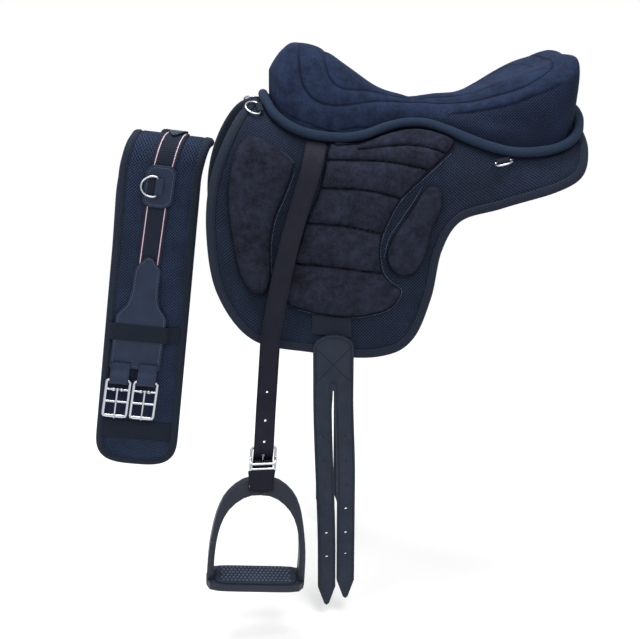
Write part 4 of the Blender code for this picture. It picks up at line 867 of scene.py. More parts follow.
class Cloths:
    """The saddle's finishes, by what they are."""

    base_mesh = SpacerMesh("spacer_mesh_knitted_navy", "161D2A", 0.85, sheen=0.03, specular=0.10)
    girth_mesh = SpacerMesh("spacer_mesh_knitted_blue", "1D2637", 0.85, sheen=0.03, specular=0.10)
    wall_mesh = SpacerMesh("spacer_mesh_fine_navy", "131B2B", 0.85, sheen=0.03, specular=0.10,
                           pitch=0.0035, hole=0.42)
    flap_suede = Suede("microfibre_suede_brushed_slate", "1B1D28", 0.95, sheen=0.05,
                       specular=0.08, cloud=0.34)
    seat_suede = Suede("microfibre_suede_brushed_navy", "1B2438", 0.92, sheen=0.06,
                       specular=0.08, cloud=0.22)
    piping = Woven("stretch_cloth_on_foam_piping", "1F2A3B", 0.85, sheen=0.03, specular=0.10,
                   rib=0.0016)
    tape = Woven("bias_tape_woven_edge", "1D2430", 0.80, sheen=0.03, specular=0.12, rib=0.0018)
    strap_leather = Leather("strap_leather_dyed_black", "141520", 0.66, specular=0.12)
    girth_leather = Leather("harness_leather_dyed_navy", "1A263A", 0.50, specular=0.22)
    billet_leather = Leather("strap_leather_dyed_navy", "1E2633", 0.58, specular=0.18,
                             crease=0.0034)
    webbing = Woven("nylon_webbing_woven_black", "1A1F2A", 0.80, sheen=0.03, specular=0.12)
    elastic = Woven("elastic_band_woven", "171C28", 0.80, sheen=0.03, specular=0.12, rib=0.0026)
    girth_web = Woven("elastic_web_with_pale_lines", "1A202D", 0.80, sheen=0.03, specular=0.12,
                      stripes=True)
    polymer = Moulded("glass_filled_nylon_moulded", "1A1F2B", 0.50, specular=0.26)
    rubber = Moulded("rubber_moulded_floor", "222834", 0.80, specular=0.15, grain=1100.0)
    stud_rubber = Moulded("rubber_moulded_studs_worn", "475064", 0.70, specular=0.20, grain=1100.0)
    board = Moulded("stiffener_board_pressed", "3A3A3A", 0.60, specular=0.20)
    steel = PolishedSteel("stainless_steel_polished", "B2B6BE", 0.20, 1.0)
    thread = Thread("polyester_thread_twisted_navy", "0D1018", 0.70, specular=0.20)
    pale_thread = Thread("polyester_thread_twisted_grey", "4E586C", 0.65, specular=0.20)


# ---------------------------------------------------------------------------------------------
# The surfaces that the pieces are drawn on


@dataclass(frozen=True)
class BaseSurface:
    """Top of the padded base: one section across the spine, eased into a broader one behind."""

    spine_crest: float = 0.018
    back_radius: float = 0.120
    spine_slope: float = math.radians(14)
    flap_slope: float = math.radians(80)
    rear_crest: float = 0.045
    rear_radius: float = 0.150
    rear_slope: float = math.radians(10)
    skirt_slope: float = math.radians(72)
    rear_start: float = 0.052
    rear_length: float = 0.190
    thickness: float = 0.012
    rise_start: float = -0.050
    rise_length: float = 0.170
    rise: float = 0.030
    rise_ease: float = 0.25

    @staticmethod
    def section(s: Array, crest: float, radius: float, start: float, end: float
                ) -> tuple[Array, Array]:
        """Offset out and drop at arc length s: a crest arc, a larger arc, then a straight.

        Args:
            s: Arc length from the spine.
            crest: Length of the crest arc.
            radius: Radius of the larger arc.
            start: Slope where the crest ends.
            end: Slope of the straight.

        Returns:
            The offset and the drop.
        """
        small = crest / start
        first = np.minimum(s, crest) / small
        turn = np.clip((s - crest) / radius, 0.0, end - start) + start
        straight = np.maximum(s - crest - radius * (end - start), 0.0)
        out = (small * np.sin(first) + straight * math.cos(end)
               + radius * (np.sin(turn) - math.sin(start)))
        drop = (small * (1 - np.cos(first)) + straight * math.sin(end)
                + radius * (math.cos(start) - np.cos(turn)))
        return out, drop

    def across(self, x: Array, s: Array) -> tuple[Array, Array]:
        """The section at x, from the front one to the rear one."""
        share = ease(x, self.rear_start, self.rear_start + self.rear_length)
        front = self.section(s, self.spine_crest, self.back_radius, self.spine_slope,
                             self.flap_slope)
        rear = self.section(s, self.rear_crest, self.rear_radius, self.rear_slope,
                            self.skirt_slope)
        return front[0] * (1 - share) + rear[0] * share, front[1] * (1 - share) + rear[1] * share

    def place(self, x: Array, s: Array, h: Array) -> Array:
        """World points at pattern places: s is positive on the near side, h off the surface."""
        x, s, h = (np.asarray(v, float) for v in np.broadcast_arrays(x, s, h))
        side = np.where(s < 0, 1.0, -1.0)
        arc = np.abs(s)
        out_a, drop_a = self.across(x, np.maximum(arc - 1e-4, 0.0))
        out_b, drop_b = self.across(x, arc + 1e-4)
        run, fall = out_b - out_a, drop_b - drop_a
        size = np.hypot(run, fall)
        out, drop = self.across(x, arc)
        f = np.clip((self.rise_start - x) / self.rise_length, 0.0, 1.6)
        spine = self.thickness + self.rise * f ** 2 / (1 + self.rise_ease * f ** 2)
        return np.stack([x, side * (out + h * fall / size), spine - drop + h * run / size], -1)

    def on(self, side: Side) -> Place:
        """Placement on one half of the base."""
        return lambda u, v, h: self.place(u, side.value * np.asarray(v, float), h)


@dataclass(frozen=True)
class GirthSurface:
    """Inner face of the girth, folded over a rail and leaning a little."""

    top: tuple[float, float, float] = (-0.366, 0.0, -0.015)
    lean: float = math.radians(7.5)
    shear: float = 0.016
    far_shift: float = -0.008
    strap_start: float = 0.004
    strap_drift: float = -0.046
    radius: float = 0.026
    thickness: float = 0.012

    def place(self, u: Array, v: Array, h: Array) -> Array:
        """World points: u across, v down the near side from the fold, h off the inner face."""
        u, v, h = (np.asarray(a, float) for a in np.broadcast_arrays(u, v, h))
        quarter_turn = self.radius * math.pi / 2
        bent = np.clip(v, -quarter_turn, quarter_turn)
        y = -(self.radius + h) * np.sin(bent / self.radius)
        z = (self.radius + h) * np.cos(bent / self.radius) - self.radius - self.thickness
        z = z - np.abs(v - bent)
        near = (1 - np.clip(v, 0.0, 0.070) / 0.070) ** 2
        far = (1 - np.clip(-v, 0.0, 0.120) / 0.120) ** 2
        u = u + np.where(v > 0, self.shear * near,
                         self.far_shift + (self.shear - self.far_shift) * far)
        c, s = math.cos(self.lean), math.sin(self.lean)
        return np.stack([self.top[0] + u * c + z * s, self.top[1] + y,
                         self.top[2] - u * s + z * c], -1)

    def strap(self, u: Array, v: Array, h: Array) -> Array:
        """World points of what is sewn along the girth, which drifts across the pad."""
        drift = self.strap_start + self.strap_drift * np.maximum(np.asarray(v, float), 0.0)
        return self.place(np.asarray(u, float) + drift, v, h)


BASE = BaseSurface()
GIRTH = GirthSurface()
SOFT_GAP = 0.0008  # Between two soft pieces that lie on each other.
SEAT_GAP = 0.0004  # Between a strap or a hard piece and what it lies on.


def publish(piece: bpy.types.Object, body: str) -> None:
    """Hand a finished piece over; one named SOLID_dressed stands for that solid.

    Args:
        piece: The object.
        body: Body that carries it.
    """
    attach(piece, body)
    if piece.name.endswith("_dressed"):
        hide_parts(piece.name.removesuffix("_dressed"))
    log.info("%s rides on %s, %d faces", piece.name, body, len(piece.data.polygons))


def keep_solid(node: str, finish: Finish) -> None:
    """Show a CAD node as it is, with its better material in its object's slots."""
    for slot in frame["nodes"][node].material_slots:
        slot.material = finish.material()


def bound_edge(name: str, body: str, place: Place, line: Array, inside: Sequence[float],
               profile: Array, pitch: float, sewn: tuple[float, float],
               closed: bool = False) -> None:
    """Tape folded round a bound edge, P = line + inward * profile, and its run of stitches.

    Args:
        name: Name of the piece.
        body: Body that carries it.
        place: Surface that it is laid on.
        line: (n, 2) flat edge.
        inside: A flat place on the side that the tape laps over.
        profile: (m, 2) closed profile, as distance inwards and height.
        pitch: Flat distance from one profile point to the next.
        sewn: Distance inwards and height of the stitches.
        closed: Whether the edge is a loop.
    """
    if closed:
        run = unit(np.roll(line, -1, axis=0) - np.roll(line, 1, axis=0))
    else:
        run = unit(np.gradient(line, axis=0))
    inward = np.stack([run[:, 1], -run[:, 0]], -1)
    inward *= np.sign((np.array(inside) - line[0]) @ inward[0])
    spots = line[:, None] + inward[:, None] * profile[None, :, :1]
    heights = np.broadcast_to(profile[None, :, 1], spots.shape[:2])
    shell = Shell()
    shell.add(place(spots[..., 0], spots[..., 1], heights),
              quads(len(line), len(profile), closed, True),
              lattice(np.arange(len(profile)) * pitch, np.arange(len(line)) * 0.004))
    seam = line + inward * sewn[0]
    shell.stitches(place, seam if closed else seam[2:-2], sewn[1], slot=1, closed=closed)
    publish(shell.build(name, [Cloths.tape, Cloths.thread]), body)


# ---------------------------------------------------------------------------------------------
# The padded base and its cushions


def seat_half_width(x: Array) -> Array:
    """Arc length from the spine to the seat's piping at x."""
    plan = curve_through(mm((-213, 12), (-208, 36), (-198, 60), (-176, 77), (-144, 86), (-102, 84),
        (-64, 76), (-31, 62), (9, 52), (42, 58), (74, 76), (107, 97), (133, 113), (160, 126),
        (197, 134), (228, 129), (250, 111), (262, 80), (268, 40), (269, 10)), False, 0.004)
    return np.interp(x, plan[:, 0], plan[:, 1])


@dataclass
class PaddedBase:
    """Two flaps of foam under spacer mesh, joined over the spine, with a bound edge, and the
    panels below them."""

    thickness: float = 0.012
    edge: float = 0.0035
    front: float = -0.230
    rear: float = 0.268
    spine_half: float = 0.015
    flap_front: float = -0.304
    flap_rear: float = 0.050
    depth: float = 0.412
    skirt: float = 0.203
    tape: float = 0.0125
    panel_depth: float = 0.168
    panel_thickness: float = 0.022

    def free_edge(self, step: float) -> Array:
        """The free edge of one half, from the spine in front to the spine behind."""
        low = self.depth
        return curve_through([(self.front, self.spine_half + SEAT_GAP), (-0.262, 0.085),
            (-0.296, 0.180), (self.flap_front, 0.265), (-0.290, 0.350), (-0.240, low - 0.004),
            (-0.150, low), (-0.045, low), (0.004, 0.388), (0.033, 0.325), (self.flap_rear, 0.252),
            (0.080, self.skirt + 0.006), (0.140, self.skirt), (0.210, self.skirt - 0.006),
            (0.252, 0.175), (0.267, 0.130), (0.268, 0.080),
            (self.rear, self.spine_half + SEAT_GAP)], False, step)

    def half(self, side: Side) -> None:
        """One flap: rows run from the spine to the free edge, and the foam thins where the tape
        clamps it."""
        free = self.free_edge(0.006)
        steps = np.diff(free[:, 0])
        weight = np.concatenate([[0.0], np.cumsum(np.maximum(steps, 0.0) + 0.0009)])
        spine_x = self.front + (self.rear - self.front) * weight / weight[-1]
        spine = np.stack([spine_x, np.full(len(free), self.spine_half + SEAT_GAP)], -1)
        u = 1 - (1 - np.linspace(0.0, 1.0, 58)) ** 2.1
        grid = spine[:, None] * (1 - u[None, :, None]) + free[:, None] * u[None, :, None]
        away = edge_distance(grid, free, closed=False)
        rolled = self.edge * (1 - quarter(away, self.edge))
        clamp = 0.0010 * groove(away - self.tape - 0.0006, 0.0022)
        shell = Shell()
        shell.closed_sheet(BASE.on(side), grid, -self.thickness + rolled, -rolled - clamp, away)
        publish(shell.build(side.name_of("base_pad_dressed"), [Cloths.base_mesh]),
                "saddle")

        low = -self.thickness
        profile = np.array([(self.tape, -0.0010), (self.tape, 0.0004), (0.0118, 0.0011),
            (0.0075, 0.0013), (0.0030, 0.0008), (0.0006, -0.0012), (-0.0008, -0.0038),
            (-0.0010, -0.0060), (-0.0008, -0.0082), (0.0006, -0.0108), (0.0030, low - 0.0008),
            (0.0075, low - 0.0010), (0.0118, low - 0.0008), (self.tape, low + 0.0006)])
        bound_edge(side.name_of("base_binding"), "saddle", BASE.on(side), self.free_edge(0.004),
                   (-0.05, 0.18), profile, 0.0025, (0.0095, 0.0013))

    def bridge(self) -> None:
        """The strip that joins the flaps over the spine."""
        x = np.linspace(self.front, self.rear, 90)
        s = np.linspace(-self.spine_half, self.spine_half, 13)
        grid = lattice(s, x)[..., ::-1]
        ends = np.minimum(x - self.front, self.rear - x)[:, None] + 0 * s
        rolled = self.edge * (1 - quarter(ends, self.edge))
        shell = Shell()
        shell.closed_sheet(BASE.place, grid, -self.thickness + rolled, -rolled, ends)
        publish(shell.build("spine_bridge_dressed", [Cloths.base_mesh]), "saddle")

    def panel(self, side: Side) -> None:
        """Foam panel beside the channel for the horse's spine, with a piped seam."""
        deep = self.panel_depth
        outline = curve_through([(-0.205, 0.050), (-0.209, 0.100), (-0.195, deep - 0.012),
            (-0.120, deep), (0.060, deep), (0.195, deep - 0.004), (0.235, 0.120), (0.225, 0.055),
            (0.185, 0.036), (0.060, 0.036), (-0.120, 0.036), (-0.185, 0.038)], True, 0.005)
        grid, away = pillow_grid(outline, ((-0.208, 0.080), (0.235, 0.100)), 110, 46)
        under = -self.thickness - SOFT_GAP
        low = under - 0.003 - (self.panel_thickness - 0.003) * quarter(away, 0.030)
        channel = 0.0022 * groove(grid[..., 1] - 0.100, 0.0035) * ease(away, 0.010, 0.030)
        shell = Shell()
        shell.closed_sheet(BASE.on(side), grid, low + channel, under - 0.0002 + 0 * away, away)
        publish(shell.build(side.name_of("panel_dressed"), [Cloths.wall_mesh]),
                "saddle")

    def build(self) -> None:
        """All of the base."""
        self.bridge()
        for side in Side:
            self.half(side)
            self.panel(side)


@dataclass
class Cushion:
    """A padded shape sewn to the flap, drawn once and laid on both sides."""

    name: str
    outline: Array
    poles: tuple[Sequence[float], Sequence[float]]
    rows: int
    columns: int
    crown: float
    roll: float
    rim: float = 0.003
    cap: float = 0.003
    channels: Sequence[Array] = ()
    channel_depth: float = 0.0055
    channel_width: float = 0.016
    wrinkle: float = 0.0005
    welt: Array | None = None
    sewn: Sequence[Array] = ()

    def heights(self, grid: Array, away: Array) -> Array:
        """Height of the top: a quarter-circle roll, dipped at each sewn channel, with shallow
        wrinkles a sin(260x + 90s + 2 sin 40s) sin(75x - 190s)."""
        x, s = grid[..., 0], grid[..., 1]
        high = self.rim + (self.crown - self.rim) * quarter(away, self.roll)
        high = high + self.wrinkle * ease(away, 0.004, 0.018) * np.sin(
            260 * x + 90 * s + 2 * np.sin(40 * s)) * np.sin(75 * x - 190 * s)
        for line in self.channels:
            beside = edge_distance(grid, line, closed=False)
            dip = 1 - quarter(beside, self.channel_width)
            high = high - self.channel_depth * dip
        return np.maximum(high, 0.0018 + 0.001 * quarter(away, 0.003)) + SOFT_GAP

    def build(self) -> None:
        """Press the filling out once, then lay the cushion on each flap and sew it."""
        grid, away = pillow_grid(self.outline, self.poles, self.rows, self.columns)
        rows, columns = away.shape
        high = self.heights(grid, away)
        flat = np.concatenate([grid, high[..., None]], -1).reshape(-1, 3)
        under = np.concatenate([grid, np.full(away.shape + (1,), SOFT_GAP)], -1).reshape(-1, 3)
        if self.cap:
            faces = quads(rows, columns)
            both = np.vstack([faces, faces[:, ::-1] + len(flat)])
            moved = pressed_out(np.vstack([flat, under]), both, lambda p: p[:, 2] < 0.0025,
                                self.cap, voxel=0.004)[:len(flat)].reshape(rows, columns, 3)
            share = quarter(away, 0.010)[..., None]
            moved = flat.reshape(rows, columns, 3) * (1 - share) + moved * share
            grid = np.where(away[..., None] > 1e-6, moved[..., :2], grid)
            high = np.maximum(moved[..., 2], SOFT_GAP + 0.0012)
        # The distance to the outline and to the channels also sets the suede's painted shade along
        # them.
        seam = away
        for line in self.channels:
            beside = edge_distance(grid, line, closed=False)
            high = high - 0.0016 * groove(beside, 0.0022)
            seam = np.minimum(seam, beside)
        for side in Side:
            shell = Shell()
            shell.closed_sheet(BASE.on(side), grid, np.full(away.shape, SOFT_GAP),
                               np.maximum(high, SOFT_GAP + 0.0010), seam)
            if self.welt is not None:
                top = BASE.on(side)(self.welt[:, 0], self.welt[:, 1], np.full(
                    len(self.welt), self.rim + SOFT_GAP + 0.0002))
                more = BASE.on(side)(self.welt[:, 0], self.welt[:, 1], np.full(
                    len(self.welt), self.rim + SOFT_GAP + 0.0012)) - top
                size = quarter(np.minimum(np.arange(len(top)), np.arange(len(top))[::-1]), 4.0)
                shell.sweep(top, circle(0.0013, 8), more, size=size)
            for line in self.sewn:
                shell.stitches(BASE.on(side), line, 0.0002, pitch=0.0036, length=0.0030,
                               radius=0.00042, slot=1)
            piece = shell.build(side.name_of(self.name + "_dressed"),
                                [Cloths.flap_suede, Cloths.pale_thread],
                                sharp=60)
            publish(piece, "saddle")


def flap_cushions() -> list[Cushion]:
    """Knee roll, quilted thigh panel and calf block, from their outlines on the pattern.

    Returns:
        The three cushions.
    """
    knee = curve_through(mm((-240, 106), (-214, 108), (-176, 129), (-176, 146), (-190, 185),
        (-204, 220), (-211, 262), (-211, 303), (-220, 333), (-240, 334), (-258, 308), (-270, 240),
        (-271, 184), (-259, 132)), True, 0.003)
    by_seat = [(x, float(seat_half_width(np.array(x))) + 0.0115)
               for x in (0.070, 0.035, 0.0, -0.035, -0.070, -0.105)]
    thigh = curve_through(mm((-119, 98), (-135, 163), (-158, 222), (-176, 282), (-188, 335),
        (-170, 347), (-120, 351), (-70, 348), (-30, 336), (-14, 313), (-30, 299), (-43, 280),
        (-46, 245), (-36, 212), (-12, 171), (30, 133), (62, 104)) + by_seat, True, 0.003)
    calf = curve_through(mm((37, 154), (50, 168), (46, 195), (34, 219), (26, 250), (10, 282),
        (-12, 289), (-29, 278), (-35, 258), (-28, 234), (-10, 207), (10, 178), (22, 160)), True,
        0.003)
    channels = [curve_through(line, False, 0.006) for line in (mm((-75, 100), (10, 95), (70, 112)),
        mm((-140, 121), (-47, 118), (40, 134)), mm((-150, 163), (-71, 159), (0, 176)),
        mm((-170, 219), (-102, 214), (-35, 226)), mm((-190, 282), (-117, 277), (-35, 285)))]
    beside_knee = curve_through(mm((-250, 112.5), (-238, 104), (-214, 105.8), (-178, 124),
        (-173.5, 137), (-174, 150), (-188, 187), (-202, 222), (-209, 262), (-209, 300)), False,
        0.003)
    rear_edge = curve_through(mm((64.5, 107), (32, 135.5), (-10, 173.5), (-33.5, 213.5),
        (-43.5, 245.5), (-40.5, 279.5), (-28.5, 297.5), (-12, 312), (-28.5, 338.5), (-70, 350.5),
        (-120, 353.5), (-170, 349.5)), False, 0.003)
    beside_calf = curve_through(mm((19, 157), (7, 176), (-13, 205),
                                   (-31, 232), (-38, 258)), False, 0.003)
    return [
        Cushion("knee_roll", knee, ((-0.256, 0.128), (-0.230, 0.336)), 110, 70, 0.018, 0.026,
                welt=curve_through(mm((-252, 116), (-238, 105.2), (-214, 107.5),
                                      (-180, 125.5), (-174.5, 134)), False, 0.002),
                wrinkle=0.0009, sewn=[beside_knee]),
        Cushion("thigh_panel", thigh, ((-0.035, 0.0735), (-0.120, 0.351)), 300, 120, 0.011,
                0.014, cap=0.0012, channels=channels, channel_depth=0.0065, sewn=[rear_edge]),
        Cushion("calf_block", calf, ((0.046, 0.160), (-0.014, 0.2895)), 80, 44, 0.012, 0.018,
                wrinkle=0.0007, sewn=[beside_calf]),
    ]


# ---------------------------------------------------------------------------------------------
# The seat


@dataclass
class Seat:
    """Foam seat under suede, with mesh side walls behind, two quilted seams on top and a foam
    piping round its foot."""

    front: float = -0.213
    rear: float = 0.268
    piping: float = 0.0075
    tape_half: float = 0.027
    web_half: float = 0.013
    web_at: float = -0.137
    inset: float = 0.0014
    bottom: float = 0.0050
    waist: float = 0.038
    lean: float = 0.10
    dish: float = 0.012
    wall_x: tuple[float, ...] = (0.030, 0.0686, 0.0968, 0.1213, 0.1371, 0.1637, 0.1913, 0.2205,
                                 0.2397, 0.262)
    wall_z: tuple[float, ...] = (0.0060, 0.0163, 0.0204, 0.0262, 0.0302, 0.0402, 0.0538, 0.068,
                                 0.0789, 0.079)

    def profile(self, x: Array) -> Array:
        """Height of the seat's ridge at x."""
        line = curve_through([(-0.213, 0.060), (-0.206, 0.075), (-0.196, 0.093), (-0.182, 0.110),
            (-0.163, 0.120), (-0.123, 0.111), (-0.083, 0.084), (-0.039, 0.054),
            (0.0, self.waist + 0.003), (0.050, self.waist), (0.095, self.waist + 0.004),
            (0.126, 0.055), (0.162, 0.073), (0.202, 0.091), (0.240, 0.103), (0.256, 0.098),
            (0.264, 0.088), (0.269, 0.068)], False, 0.004)
        return np.interp(x, line[:, 0], line[:, 1])

    def reach(self, x: Array) -> Array:
        """Arc length from the spine to the cushion's foot, inside the piping."""
        xs = np.linspace(self.front + 0.0005, self.rear + 0.0005, 300)
        s = seat_half_width(xs)
        slope = np.gradient(s, xs)
        size = np.hypot(1.0, slope)
        inward = self.piping + self.inset
        moved, kept = xs + inward * slope / size, s - inward / size
        order = np.argsort(moved)
        return np.interp(x, moved[order], kept[order])

    def rings(self) -> tuple[Array, int, int]:
        """Sections of the cushion along x, each a closed ring.

        Above the foot the section is a superellipse, across = half |cos t|^p, rise = sin(t)^p,
        with one column on the wall seam; below it follows the base.

        Returns:
            The rings, (n, m, 3), and the numbers of wall and top columns.
        """
        front = self.front + self.piping + self.inset + 0.0006
        rear = self.rear - self.piping - self.inset + 0.0004
        x = (front + (rear - front) * spread(230, 0.80))[:, None]
        reach = self.reach(x)
        foot = BASE.place(x, reach, self.bottom)
        half, low = np.abs(foot[..., 1]), foot[..., 2]
        behind = ease(x, 0.05, 0.20)
        power = 0.86 * (1 - behind) + 0.42 * behind
        peak = self.profile(x)
        seam = np.interp(x, self.wall_x, self.wall_z)
        share = np.clip((seam - low) / (peak - low), 0.035, 0.93)
        share = 0.035 + (share - 0.035) * ease(x, 0.020, 0.075)
        seam_turn = np.arcsin(share ** (1 / power))
        wall, top = 14, 140
        up = np.linspace(0.0, 1.0, wall + 1)[None, :-1]
        over = np.linspace(0.0, 1.0, top + 1)[None, :]
        turn = np.concatenate([seam_turn * (up + 1e-4), seam_turn + (np.pi - 2 * seam_turn) * over,
                               np.pi - seam_turn * (up[:, ::-1] + 1e-4)], 1)
        across = half * np.sign(np.cos(turn)) * np.abs(np.cos(turn)) ** power
        rise = np.sin(turn) ** power
        dish = self.dish * behind * (1 - ease(x, 0.200, 0.240))
        z = low + (peak - low) * rise - dish * np.clip(1 - (across / half / 0.75) ** 2, 0.0, 1.0)
        lean = self.lean * ease(x, 0.12, 0.26)
        above = np.stack([x + lean * (z - low), across, z], -1)
        arcs = reach * np.linspace(-1.0, 1.0, 30)[None, :]
        below = BASE.place(x, arcs, self.bottom)
        return np.concatenate([above, below], 1), wall, top

    def seams(self, surface: Array) -> list[Array]:
        """The sewn loops, laid on the pressed surface: an outer one inside the rim, an inner
        one, and the line where the front wall meets its foot.

        Args:
            surface: Points of the seat's top.

        Returns:
            The loops, each (n, 3).
        """
        outer = mm((-156, 0, 120), (-159, -28, 112), (-160, -58, 77), (-157, -62, 65),
            (-153, -65, 55), (-144, -68, 44), (-134, -70, 37), (-116, -69, 33), (-93, -65, 33),
            (-70, -59, 35), (-41, -44, 37), (-5, -31, 35), (35, -28, 33), (65, -34, 33),
            (93, -47, 35), (120, -62, 42), (146, -80, 51), (172, -92, 60), (193, -94, 72),
            (211, -88, 84), (222, -60, 92), (226, 0, 94))
        inner = mm((-118, 0, 110), (-120, -20, 106), (-121, -34, 99), (-120, -46, 88),
            (-118, -54, 76), (-114, -58, 67), (-108, -59, 62), (-93, -57, 55), (-72, -49, 54),
            (-49, -35, 51), (-11, -18, 41), (30, -15, 38), (70, -17, 38), (110, -30, 43),
            (150, -48, 60), (178, -56, 74), (196, -45, 84), (203, 0, 88))
        foot = mm((-203, -17, 43), (-186, -50, 24), (-161, -69, 12), (-140, -72, 2),
            (-116, -72, -3), (-86, -69, -3), (-54, -61, -1))
        rough = [curve_through(line[:-1] + [(a, -b, c) for a, b, c in line[:0:-1]], True, 0.003)
                 for line in (outer, inner)]
        rough += [curve_through(np.array(foot) * (1, k, 1), False, 0.003) for k in (1, -1)]
        laid = []
        for number, line in enumerate(rough):
            away = np.linalg.norm(line[:, None] - surface[None], axis=-1)
            on = surface[away.argmin(1)]
            pads = 6
            longer = np.concatenate([on[-pads:], on, on[:pads]]) if number < 2 else np.pad(
                on, ((pads, pads), (0, 0)), mode="edge")
            laid.append(np.stack([np.convolve(longer[:, k], np.ones(13) / 13, "valid")
                                  for k in range(3)], -1))
        return laid

    def cushion(self) -> None:
        """The seat itself: pressed out, then quilted, with a rolled rim over its mesh wall."""
        rings, wall, top = self.rings()
        n, m = rings.shape[:2]
        ends = [rings[0].mean(0), rings[-1].mean(0)]
        closing = [rings[0] + (ends[0] - rings[0]) * k for k in (1.0, 0.5)]
        opening = [rings[-1] + (ends[1] - rings[-1]) * k for k in (0.5, 1.0)]
        whole = np.stack([*closing, *rings, *opening])
        flat = whole.reshape(-1, 3)
        faces = quads(n + 4, m, wrap_columns=True)
        below = np.zeros((n + 4, m), bool)
        below[:, wall * 2 + top + 1:] = True
        moved = pressed_out(flat, faces, lambda p: p[:, 2] < BASE.place(
            p[:, 0], p[:, 1] * 1.02, 0.0)[:, 2] + 0.010, 0.004, voxel=0.0055)
        moved = moved.reshape(whole.shape)
        sides = ease(whole[..., 2] - BASE.place(whole[..., 0], whole[..., 1], 0.0)[..., 2],
                     0.008, 0.030)[..., None]
        shaped = np.where(below[..., None], whole, whole + (moved - whole) * sides)
        normal = grid_normals(shaped)
        outward = np.sign((normal * (shaped - np.array([0.0, 0.0, -0.10]))).sum(-1))
        normal *= outward[..., None]
        columns = np.arange(m)
        upper = shaped[2:-2, :wall * 2 + top + 1]
        lines = self.seams(upper[::2, ::2].reshape(-1, 3))
        # Distance to the nearest seam: the suede darkens along it with painted shade.
        seam = np.full(below.shape, 0.05)
        dip = np.zeros(below.shape)
        for line, depth, closed in zip(lines, (0.0024, 0.0020, 0.0008, 0.0008),
                                       (True, True, False, False)):
            beside = edge_distance(shaped, line, closed)
            seam = np.minimum(seam, beside)
            dip = dip + depth * (0.55 * groove(beside, 0.0026) + 0.75 * groove(beside, 0.0085))
        along, across = whole[..., 0], np.abs(whole[..., 1])
        crests = (ease(along, 0.150, 0.200) * (1 - ease(across, 0.050, 0.085))
                  + (1 - ease(along, -0.150, -0.110)) * (1 - ease(across, 0.022, 0.048)))
        dip = dip * (1 - 0.85 * crests) * (1 - 0.55 * ease(along, 0.150, 0.190))
        to_seam = np.minimum(np.abs(columns - wall), np.abs(columns - wall - top))
        span = np.linalg.norm(shaped[:, wall] - shaped[:, wall + 1], axis=-1)[:, None]
        beside = to_seam[None, :] * span
        behind = ease(whole[..., 0], 0.045, 0.10) * (1 - ease(whole[..., 0], 0.200, 0.236))
        on_top = (columns >= wall) & (columns <= wall + top)
        roll = 0.0018 * np.sin(np.clip(beside / 0.017, 0.0, 1.0) * np.pi) * on_top[None, :]
        dip = dip - behind * roll + behind * 0.0018 * groove(beside, 0.0022)
        seam = np.where(behind > 0.3, np.minimum(seam, beside + 0.0006), seam)
        shaped = shaped - normal * (dip * ~below)[..., None]
        foot = whole[:, wall // 2]
        run = np.cumsum(np.linalg.norm(np.diff(foot, axis=0, prepend=foot[:1]), axis=1))
        uv = np.stack(np.broadcast_arrays(run[:, None], whole[..., 2]), -1)
        on_wall = (columns < wall) | ((columns >= wall + top) & (columns < wall * 2 + top))
        slot = np.broadcast_to(on_wall[None, :], (n + 3, m)) & (whole[:-1, :1, 0] > 0.030)
        shell = Shell()
        shell.add(shaped, faces, uv, seam, slot.astype(int).reshape(-1))
        piece = shell.build("seat_cushion_dressed", [Cloths.seat_suede,
                                                     Cloths.wall_mesh], sharp=70)
        publish(piece, "saddle")

    def foot_piping(self) -> None:
        """Foam piping: a circle carried round the seat on the base, a little uneven."""
        x = np.array([-0.2125, -0.209, -0.199, -0.178, -0.150, -0.120, -0.090, -0.060, -0.030, 0.0,
            0.030, 0.060, 0.090, 0.120, 0.150, 0.180, 0.210, 0.235, 0.252, 0.262, 0.267, 0.2688])
        near = np.stack([x, seat_half_width(x)], -1)
        loop = curve_through(np.vstack([near, near[::-1] * (1, -1)]), True, 0.005)
        over_web = 1 - ease(np.abs(loop[:, 0] - self.web_at), 0.015, 0.045)
        height = self.piping + 0.0008 + 0.0026 * over_web
        path = BASE.place(loop[:, 0], loop[:, 1], height)
        up = BASE.place(loop[:, 0], loop[:, 1], height + 0.001) - path
        turn = np.linspace(0, 2 * np.pi, len(loop), endpoint=False)
        size = 1 + 0.012 * np.sin(37 * turn) + 0.010 * np.sin(23 * turn + 1.0)
        shell = Shell()
        shell.sweep(path, circle(self.piping - 0.0001, 20), up, closed=True, size=size)
        publish(shell.build("seat_piping_dressed", [Cloths.piping]), "saddle")

    def hidden_tapes(self) -> None:
        """Hook-and-loop tapes that hold the seat to the base, and the web for the leathers."""
        for name, high, low in (("base_loop_tape", 0.0018, 0.0006),
                                ("seat_hook_tape", 0.0035, 0.0024)):
            x = np.linspace(-0.100, 0.215, 80)
            s = np.linspace(-self.tape_half, self.tape_half, 15)
            grid = lattice(s, x)[..., ::-1]
            strip = BASE.place(grid[..., 0], grid[..., 1], (high + low) / 2)
            piece = strap(name + "_dressed", strip, grid[..., ::-1], 0.05 + 0 * grid[..., 0],
                          high - low, Cloths.webbing, bevel=0.0002)
            publish(piece, "saddle")
        x = self.web_at + np.linspace(-self.web_half, self.web_half, 9)
        s = np.linspace(-0.100, 0.100, 90)
        grid = lattice(x, s)
        strip = BASE.place(grid[..., 0], grid[..., 1], SEAT_GAP + 0.0008)
        piece = strap("stirrup_web_dressed", strip, grid, 0.05 + 0 * grid[..., 0], 0.0016,
                      Cloths.webbing, bevel=0.0004)
        publish(piece, "saddle")

    def build(self) -> None:
        """All of the seat."""
        self.cushion()
        self.foot_piping()
        self.hidden_tapes()
        keep_solid("pommel_stiffener", Cloths.board)


# ---------------------------------------------------------------------------------------------
# Stirrup leathers, buckles and stirrups


